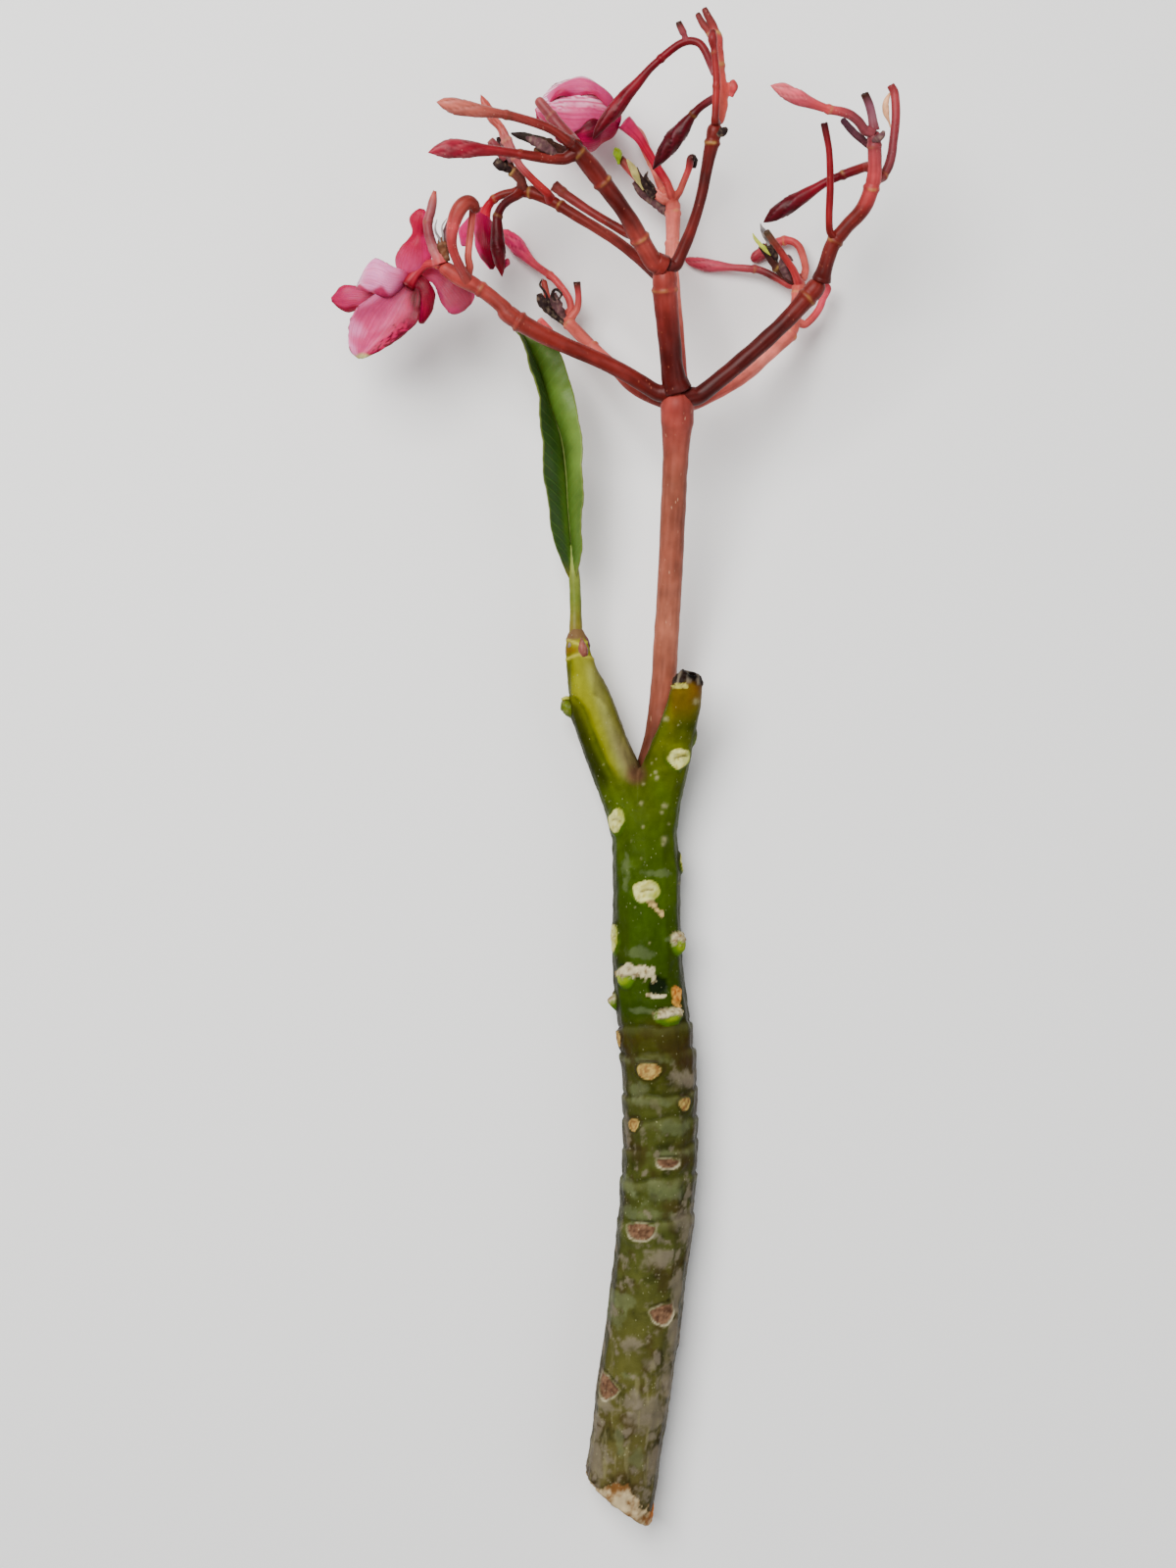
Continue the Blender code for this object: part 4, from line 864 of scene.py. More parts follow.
def paint_scar(row, points, normals, tint, move):
    """One leaf scar: raises and colours the points of the stem around it, with painted shadow in the groove
    just above it.
    """
    kind, cx, cy, cz, half_width, half_height, tilt = row
    nearest = np.argmin(np.linalg.norm(points - np.array((cx, cy, cz)), axis=1))
    away = np.linalg.norm(points - points[nearest], axis=1)
    facing = normals[away < 2].mean(0)
    facing /= np.linalg.norm(facing)
    up = np.array((0, 1.0, 0)) - facing * facing[1]
    up /= np.linalg.norm(up)
    side = np.cross(up, facing)
    turn = math.radians(tilt)
    up, side = up * math.cos(turn) + side * math.sin(turn), side * math.cos(turn) - up * math.sin(turn)
    near = away < 9
    spot = points[near]
    offset = spot - points[nearest]
    across, height = offset @ side, offset @ up
    colour, lift = tint[near], np.zeros(len(spot))
    speck, broad = wobble(spot, 1.1, cx + cy, 2), wobble(spot, 2.4, cx)
    inside = scar_shape(kind, across, height, half_width, half_height)
    inside = inside + (0.6 if kind == "fresh" else 0.3) * broad + 0.12 * speck
    rim = np.exp(-((inside - 0.08) / 0.24) ** 2)
    core = ramp(0.2, 0.5, inside)
    below = ramp(0.5, -0.5, height / half_height)
    shoulder = np.exp(-((inside + 1.0) / 0.9) ** 2)
    # painted shadow: a dark band in the groove just above the scar
    shade_above = np.exp(-((height - half_height - 0.45) / 0.3) ** 2) * ramp(1.1, 0.6, np.abs(across) / half_width)
    if kind == "moon":
        bundles = np.exp(-(((np.abs(across) - 0.42 * half_width) / 0.6) ** 2 + ((height - 0.1) / 0.5) ** 2))
        bundles += np.exp(-((across / 0.5) ** 2 + ((height + 0.5) / 0.6) ** 2))
        brown = mix(SCAR_BROWN, rgb(110, 84, 66), np.clip(0.45 + 1.1 * speck, 0, 1))
        # painted shadow above the scar
        colour = mix(colour, rgb(44, 38, 24), 0.6 * shade_above)
        colour = mix(colour, SCAR_RIM, rim * (0.35 + 0.55 * below) * np.clip(0.8 + broad, 0, 1))
        colour = mix(mix(colour, brown, core), rgb(82, 58, 46), 0.6 * core * bundles)
        lift = 0.28 * rim * below - 0.3 * core + 0.25 * speck * core + 0.35 * shoulder * below - 0.35 * shade_above
    elif kind == "tan":
        ring = np.exp(-((inside - 1.0) / 0.3) ** 2)
        dot = np.exp(-((across / 0.55) ** 2 + ((height - 0.25) / 0.35) ** 2))
        pale = mix(rgb(208, 184, 116), rgb(164, 126, 80), np.clip(0.35 + 1.1 * speck, 0, 1))
        # a dark ring round the scar's edge, and painted shadow above the scar
        colour = mix(colour, rgb(70, 52, 30), 0.55 * np.exp(-((inside + 0.2) / 0.3) ** 2) + 0.5 * shade_above)
        colour = mix(mix(colour, pale, core), rgb(134, 98, 58), core * (0.5 * ring + 0.85 * dot))
        lift = 0.5 * ramp(-0.5, 0.3, inside) + 0.3 * shoulder * below - 0.3 * shade_above
        lift += 0.2 * speck * core - 0.25 * core * ring
    elif kind == "fresh":
        split = np.exp(-((height - 0.1 * half_height - 0.25 * np.sin(1.6 * across)) / 0.28) ** 2)
        split = split * ramp(0.75, 0.35, np.abs(across - 0.3) / half_width)
        cream = mix(FRESH, rgb(196, 190, 104), np.clip(0.3 + 1.3 * speck, 0, 1))
        cream = mix(cream, rgb(158, 168, 60), 0.7 * ramp(0.3, 0.9, across / half_width + broad))
        colour = mix(colour, LIP_GREEN, 0.5 * below * np.exp(-((inside + 0.35) / 0.5) ** 2))
        colour = mix(mix(colour, cream, ramp(-0.05, 0.3, inside)), rgb(104, 76, 40), core * split * 0.8)
        lift = 0.8 * ramp(-1.3, 0.4, inside) - 0.25 * ramp(0.8, 2.4, inside)
        lift += 0.3 * speck * core - 0.55 * core * split
    else:
        crust = ramp(-0.2, 0.4, height / half_height + 0.6 * speck) * ramp(-0.5, 0.2, inside + 0.6 * speck)
        rough = mix(LATEX, rgb(150, 132, 96), np.clip(0.25 + 1.6 * speck, 0, 1))
        green = mix(LIP_GREEN, rgb(150, 170, 40), ramp(0.2, 1.4, inside))
        # painted shadow above the knob
        colour = mix(colour, rgb(30, 34, 14), 0.7 * shade_above)
        colour = mix(mix(colour, green, ramp(-0.5, 0.1, inside)), rough, crust)
        lift = 2.0 * ramp(-1.0, 1.8, inside) + crust * (0.3 + 0.7 * speck)
    tint[near] = colour
    move[near] += lift


def right_of_fork(x, y):
    return ramp(15.5, 18.5, x) * ramp(-4, 4, y)


def left_of_fork(x, y):
    return ramp(11, 7, x) * ramp(-2, 6, y)


def bark_colours(points, normals, broad, fine):
    """Colours down the stem: olive shoots, deep green, then duller and browner bark, with painted shade
    darkening the sides that turn away from straight up.
    """
    x, y = points.T[:2]
    tint = np.empty_like(points)
    stops = np.array([-205, -165, -120, -85, -68, -60, -30, -10, 10, 30, 47])
    colours = [rgb(110, 102, 66), rgb(106, 104, 58), rgb(94, 100, 50), rgb(90, 94, 42), rgb(86, 84, 30),
               rgb(70, 90, 18),
               rgb(76, 100, 6), rgb(88, 106, 8), rgb(102, 112, 0), rgb(136, 138, 10), rgb(170, 152, 34)]
    for k in range(3):
        tint[:, k] = np.interp(y + 5 * broad, stops, [c[k] for c in colours])
    tint = mix(tint, DARK_GREEN, np.clip(0.3 * fine + 0.35 * broad, 0, 0.5) * ramp(-140, -60, y))
    tint = mix(tint, rgb(96, 118, 4), np.clip(0.9 * wobble(points, 9, 15), 0, 0.5) * ramp(-60, -20, y)
               * (1 - right_of_fork(x, y)))
    # painted shade: the stem's sides, where the surface turns away from straight up, are darkened to a dull
    # brown-green
    painted_side_shade = ramp(0.9, 0.25, normals[:, 2] + 0.25 * broad)
    tint = mix(tint, rgb(56, 48, 16), (0.4 + 0.35 * on_trunk(y)) * painted_side_shade)
    right_side = ramp(12, 23, x - 0.03 * (y + 100))
    brown = np.clip(0.3 + 0.9 * broad + 0.5 * fine, 0, 1) * ramp(-58, -80, y) * right_side
    tint = mix(tint, BARK_BROWN, 0.8 * brown)
    tint = mix(tint, BARK_BROWN, 0.55 * ramp(0.0, 0.6, wobble(points, 9, 12, 4)) * ramp(-62, -74, y))
    tint = mix(tint, rgb(38, 42, 14), 0.5 * ramp(0.15, 0.7, wobble(points, 7, 71, 4)) * ramp(-60, -90, y))
    return tint


def grey_bark(points, tint, move):
    """Grey patches, pale bands of painted highlight and thin streaks, with ragged edges."""
    x, y, z = points.T
    ragged = wobble(points, 4.4, 21, 4)
    for kind, cx, cy, half_width, half_height in BLOTCHES:
        reach = np.hypot((x - cx) / half_width, (y - cy) / half_height)
        share = ramp(1.4, 0.5, reach + 1.1 * ragged) * (z > 9)
        # the blotches that are not grey are painted highlight: pale grey-green bands where the skin below a
        # crease faces up
        colour, amount = (BARK_GREY, 0.6) if kind == "grey" else (rgb(142, 150, 116), 0.3)
        tint = mix(tint, colour, amount * share)
        move += (0.16 if kind == "grey" else 0.04) * share
    scattered = ramp(0.3, 0.7, ragged + 0.2 * ramp(-120, -200, y)) * ramp(-70, -110, y)
    tint = mix(tint, BARK_GREY, 0.6 * scattered)
    streaks = ramp(0.28, 0.6, wobble(points * (1, 0.16, 1), 1.5, 90, 2)) * ramp(-150, -170, y)
    tint = mix(tint, rgb(150, 144, 110), 0.45 * streaks)
    return tint


def mark_left_shoot(points, tint, move, fine):
    """Paler on its right side, parted by the raised edge that runs down from its side knob. The pale side is
    partly its own lighter olive and partly painted highlight, with a painted highlight stripe down it and a
    greyish-mauve painted sheen lower down.
    """
    x, y, z = points.T
    left_shoot = left_of_fork(x, y)
    edge_x = np.interp(y, [3.8, 12.7, 20.0, 24.5, 27.0, 28.0], [1.5, -2.6, -5.4, -7.2, -9.2, -11.1])
    across = x - edge_x
    pale_side = ramp(-0.7, 2.2, across) * left_shoot * ramp(2, 9, y)
    tint = mix(tint, rgb(44, 50, 0), 0.75 * left_shoot * ramp(-0.5, -3.0, across) * ramp(34, 22, y))
    # the pale side: partly the shoot's own lighter olive, partly painted highlight
    tint = mix(tint, OLIVE, 0.6 * pale_side)
    # painted highlight: a whitish stripe of reflected light down the pale side
    painted_highlight = np.exp(-((x - np.interp(y, [6, 40], [4.4, -6.6])) / 2.0) ** 2) * pale_side * ramp(42, 32, y)
    tint = mix(tint, rgb(196, 196, 150), 0.3 * painted_highlight)
    # painted sheen: greyish mauve on the lower part of the pale side
    tint = mix(tint, rgb(134, 116, 96), 0.7 * pale_side * ramp(2.0, 6.0, across) * ramp(26, 10, y))
    tint = mix(tint, rgb(84, 72, 30), 0.5 * pale_side * ramp(5.4, 7.0, across) * ramp(12, 24, y))
    tint = mix(tint, rgb(120, 78, 74), 0.75 * ramp(4.5, 1, np.hypot(x - 7.5, y - 5.5)) * (z > 9))
    groove = np.exp(-((across + 0.3) / 0.5) ** 2) * left_shoot * ramp(2, 9, y) * (z > 12)
    tint = mix(tint, rgb(52, 74, 2), 0.35 * groove)
    move += 0.4 * pale_side * (z > 12) - 0.3 * groove
    for level, drop in ((42.2, 0.5), (39.6, -0.35)):
        line = np.exp(-((y - level - drop * np.abs(x + 8.5)) / 0.45) ** 2) * left_shoot
        tint = mix(tint, rgb(206, 200, 96), 0.8 * line)
        move += 0.25 * line
    tint = mix(tint, rgb(150, 104, 30), 0.6 * np.exp(-((y - 40.8) / 1.0) ** 2) * left_shoot
               * ramp(-8, -10, x))
    tint = mix(tint, rgb(132, 100, 84), ramp(42.9, 44.5, y + 0.6 * fine) * left_shoot * 0.85)
    return tint


def mark_right_shoot(points, tint, move, fine, grain):
    """Browner towards its end, which is a dry cut, with painted shade in the hollow of the cut."""
    x, y = points.T[:2]
    right_shoot = right_of_fork(x, y)
    tint = mix(tint, rgb(122, 90, 16), 0.75 * right_shoot * ramp(14, 26, y) * ramp(27, 22, x))
    tint = mix(tint, rgb(130, 74, 38), 0.65 * right_shoot * ramp(22, 30, y) * ramp(21, 25, x))
    tint = mix(tint, rgb(60, 78, 0), 0.7 * right_shoot * np.exp(-((y - 19) / 3.4) ** 2) * ramp(15, 20, x))
    dry = right_shoot * ramp(30.2, 31.4, y + 1.1 * fine)
    tint = mix(tint, DEAD_BROWN, dry)
    tint = mix(tint, BARK_GREY, 0.7 * dry * ramp(0.1, 0.4, grain))
    # painted shade: near-black in the hollow of the dry cut
    tint = mix(tint, rgb(22, 16, 14), dry * ramp(2.4, 1.0, np.hypot(x - 23.2, y - 33.6)))
    move += dry * (0.5 * fine + 0.35 * grain)
    return tint


def step_growth(points, tint, move):
    """Each stretch of growth stands a little proud of the one above it; each crease is darkened with painted
    shade and the band just below it lightened with a painted highlight.
    """
    x, y = points.T[:2]
    for number, level in enumerate(CREASES):
        away = level - y + 1.5 * wobble(points * (1, 0.05, 1), 8, 50 + number) + 0.08 * (x - 12)
        strength = np.clip(0.65 + 0.9 * wobble(points, 9, 60 + number), 0, 1.1)
        ledge = ramp(-0.5, 0.7, away) * ramp(7.5, 1.0, away)
        line = np.exp(-((away + 0.5) / 0.55) ** 2)
        move += strength * (0.6 * ledge - 0.35 * line)
        # painted shade: a dark line in the crease
        tint = mix(tint, rgb(44, 44, 14), 0.5 * line * np.clip(strength, 0, 1))
        # painted highlight: a pale band just below the crease, where the surface faces up
        tint = mix(tint, rgb(140, 144, 104), 0.3 * ramp(-0.2, 0.7, away) * ramp(3.2, 0.8, away) * strength)
    return tint


def dried_sap(points, tint, move, fine):
    """Crusts, runs, an amber bead and drops of dried sap, and a dark wet patch."""
    x, y, z = points.T
    wet = ramp(3.2, 1.9, np.hypot((x - 14.0) * 0.9, y + 54.8) + 0.9 * fine) * (z > 12)
    tint = mix(tint, rgb(26, 38, 24), 0.9 * wet)
    crumbs = wobble(points, 1.2, 70, 3)
    for ax, ay, bx, by, reach, colour in RUNS:
        t = np.clip(((x - ax) * (bx - ax) + (y - ay) * (by - ay)) / ((bx - ax) ** 2 + (by - ay) ** 2), 0, 1)
        away = np.hypot(x - ax - t * (bx - ax), y - ay - t * (by - ay)) / reach
        away += 0.8 * wobble(points, 1.1 * reach + 0.6, ax, 3)
        sap = ramp(1.05, 0.75, away) * (z > 12)
        tint = mix(tint, mix(colour, rgb(150, 132, 96), np.clip(0.15 + 1.5 * crumbs, 0, 0.9)), sap)
        move += sap * (0.55 + 0.8 * crumbs) - 0.2 * wet
    amber = ramp(1.1, 0.8, np.hypot((x - 18.9) / 1.5, (y + 57.4) / 2.4) + 0.5 * fine) * (z > 12)
    tint = mix(tint, mix(rgb(226, 176, 96), rgb(180, 116, 50), np.clip(0.3 + 1.2 * crumbs, 0, 1)), amber)
    move += 0.8 * amber
    for cx, cy, radius in DROPS:
        away = np.hypot(x - cx, y - cy) / (0.8 * radius) + 0.6 * crumbs
        drop = np.exp(-(away ** 2)) * (z > 12)
        tint = mix(tint, rgb(190, 184, 144), 0.5 * drop)
        move += 0.16 * drop
    return tint


def slanted_cut(points, normals, tint, move, fine):
    """The cut at the foot, under a ragged pale rind."""
    x, y = points.T[:2]
    foot = ramp(-0.25, -0.5, normals[:, 1]) * (y < -190)
    cut_normal = normals[foot > 0.9].mean(0)
    cut_normal /= np.linalg.norm(cut_normal)
    above_cut = (points[foot > 0.9].mean(0) - points) @ cut_normal
    rag = 3.0 * wobble(points, 5.5, 80, 4) + 4.6 * np.exp(-((x - 5) / 5) ** 2) + 2.2 * ramp(10, 13, x)
    rind = ramp(1.8, 0.8, above_cut - rag) * (y < -176)
    pale = mix(rgb(212, 194, 158), rgb(140, 104, 64), np.clip(0.3 + 1.4 * wobble(points, 3.4, 84, 4), 0, 1))
    pale = mix(pale, rgb(204, 128, 40), ramp(9.5, 12.5, x) * np.clip(0.8 + fine, 0, 1))
    edge_line = np.exp(-((above_cut - rag - 1.9) / 0.5) ** 2) * (y < -176)
    tint = mix(mix(tint, rgb(60, 44, 22), 0.55 * edge_line), pale, np.maximum(rind, foot))
    move += rind * (0.15 + 0.35 * wobble(points, 3.0, 88, 3)) - 0.15 * edge_line
    return tint


def on_trunk(y):
    return ramp(-8, -22, y)


def make_woody_stem():
    piece = copy_of_node("woody_stem", WOODY_VOXEL)
    points, normals = corners_of(piece)
    low, high = (np.array(corner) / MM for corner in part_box("woody_stem"))
    broad, fine = wobble(points, 13, 1), wobble(points, 3.2, 7, 2)
    grain = wobble(points * (1, 0.35, 1), 1.3, 3)
    tint = bark_colours(points, normals, broad, fine)
    move = 0.35 * broad * on_trunk(points[:, 1]) + 0.16 * fine + 0.05 * grain
    tint = grey_bark(points, tint, move)
    tint = mark_left_shoot(points, tint, move, fine)
    tint = mark_right_shoot(points, tint, move, fine, grain)
    tint = step_growth(points, tint, move)
    for cx, cy, cz, spread, height in LUMPS:
        away = np.linalg.norm(points - np.array((cx, cy, cz)), axis=1)
        move += height * np.exp(-(away / spread) ** 2)
    for row in SCARS:
        paint_scar(row, points, normals, tint, move)
    tint = dried_sap(points, tint, move, fine)
    tint = slanted_cut(points, normals, tint, move, fine)
    moved = points + normals * move[:, None]
    moved = np.clip(moved, low - (4, 3, 0), high + (4, 3, 3))
    set_corners(piece, moved, tint * (1 + 0.1 * grain)[:, None], FINISHES["bark"])
    finished(piece, ["woody_stem"])


make_woody_stem()

# ---------------------------------------------------------------- the leaf

# stations from foot to tip: x, y, z, half width, reach of the left half, reach of the right half
LEAF_STATIONS = [
    (-4, 58, 15.2, 1.2, 1, 0.8), (-4.6, 66.5, 16.3, 5, 4.4, 2.6), (-5.6, 78, 17, 7, 5.6, 4),
    (-6.3, 89, 17.6, 8.2, 6.3, 4.8), (-7.7, 98.5, 18.2, 8.6, 5.4, 5.7), (-10.6, 106, 19, 8.7, 3, 7.5),
    (-13.6, 115, 20.2, 8.8, 1.8, 8.1), (-16.7, 122, 21.6, 8.8, 1.2, 8.5), (-19.4, 127.6, 23, 4.6, 1, 4.4),
    (-21, 130.5, 24, 1, 0.5, 0.9),
]
LEAF_STALK = [(-3.6, 38, 14.3, 2.2), (-3.6, 42, 14.5, 2.1), (-3.6, 49, 14.5, 1.8), (-3.8, 56, 15, 1.75),
              (-4.1, 61, 15.5, 1.6),
              (-4.5, 68, 16.2, 1.0)]
LEAF_GREEN, LEAF_DARK, LEAF_LIGHT = rgb(100, 130, 56), rgb(62, 88, 40), rgb(134, 160, 84)


def make_leaf():
    """One leaf folded along its midrib, on its stalk."""
    stations = np.array(LEAF_STATIONS)
    shift = np.array((SHIFT[0], SHIFT[1], 0))
    rows, run = curve_through(stations, 0.8)
    across = np.linspace(-1, 1, 41)
    v, u = np.meshgrid(across, run / run[-1])
    reach = np.where(v < 0, rows[:, 4:5], rows[:, 5:6])
    rise = np.sqrt(np.maximum(rows[:, 3:4] ** 2 - reach ** 2, 0))
    bow = 0.10 * rows[:, 3:4] * np.sin(math.pi * np.abs(v))
    points = np.empty(v.shape + (3,))
    wave = 0.45 * np.sin(TAU * (5 * u + 0.2 * np.sign(v))) + 0.12 * np.sin(TAU * 12 * u + 1.3)
    wave = np.abs(v) ** 3 * wave
    vein = np.cos(TAU * (LEAF_VEINS * u - 2.2 * np.abs(v))) * ramp(0.03, 0.2, np.abs(v))
    points[..., 0] = rows[:, 0:1] + v * reach
    points[..., 1] = rows[:, 1:2] + 0.3 * wave
    points[..., 2] = rows[:, 2:3] + np.abs(v) * rise
    outward = np.stack([rise * np.sign(v), 0 * v, -reach + 0 * v], -1) / rows[:, 3:4, None]
    points -= outward * (bow + 0.8 * wave + 0.06 * vein - 0.45 * np.exp(-(v / 0.06) ** 2))[..., None]
    points += shift
    tint = mix(LEAF_GREEN, LEAF_LIGHT, ramp(0.1, 0.9, v) * (0.35 + 0.4 * np.sin(3 * u) ** 2))
    tint = mix(tint, LEAF_DARK, ramp(-0.15, -0.6, v))
    soft = wobble(points.reshape(-1, 3), 9, 4).reshape(v.shape)
    tint = mix(tint, LEAF_DARK, np.clip(0.5 * soft + 0.1, 0, 0.6))
    tip_patch = ramp(0.9, 0.94, u) * ramp(0.15, 0.35, v)
    tint = mix(tint, rgb(190, 206, 146), 0.6 * tip_patch)
    tint = mix(tint, rgb(150, 140, 60), 0.55 * ramp(0.08, 0.0, u))
    edge = ramp(0.94, 1.0, np.abs(v))
    tint = mix(tint, rgb(150, 160, 84), 0.5 * edge)
    midrib = np.exp(-((v - 0.02) / (0.035 + 0.03 * (1 - u))) ** 2)
    tint = mix(tint, rgb(178, 190, 120), 0.8 * midrib * ramp(1, 0.8, u))
    shape_grid("leaf_blade", points, FINISHES["leaf_green"], tint, ["leaf"], wall=LEAF_WALL)

    stalk = np.array(LEAF_STALK) + (*shift, 0)

    def swell(run, turn, radius):
        side = turn - 0.5
        return radius * (1 + 0 * turn) * (1 - 0.16 * np.exp(-(side / 0.05) ** 2)) * (1 + 0.02 * np.sin(run))

    points, run, turn = swept(stalk, 0.5, 28, swell)
    points = closed_ends(points, ((0.6, 0.3), (0, 0.4)))
    share = np.linspace(0, 1, len(points))[:, None] * np.ones(points.shape[1])
    tint = colours_along((rgb(150, 96, 50), rgb(140, 132, 56), rgb(126, 140, 56), rgb(150, 160, 80),
                          rgb(150, 168, 90)), share)
    tint = tint * (1 + 0.12 * wobble(points.reshape(-1, 3), 3, 2).reshape(share.shape))[..., None]
    shape_grid("leaf_stalk", points, FINISHES["stalk_green"], tint, ["leaf"], closed=True)


make_leaf()

# ---------------------------------------------------------------- the flowers

THROAT, HOT, DEEP, MID = rgb(96, 0, 30), rgb(184, 0, 96), rgb(136, 0, 56), rgb(214, 44, 132)
PALE, BLUSH, WHITE_PINK, DUSTY = rgb(246, 164, 210), rgb(222, 104, 156), rgb(255, 220, 238), rgb(186, 74, 122)
CERISE, FADED = rgb(182, 0, 80), rgb(176, 92, 116)

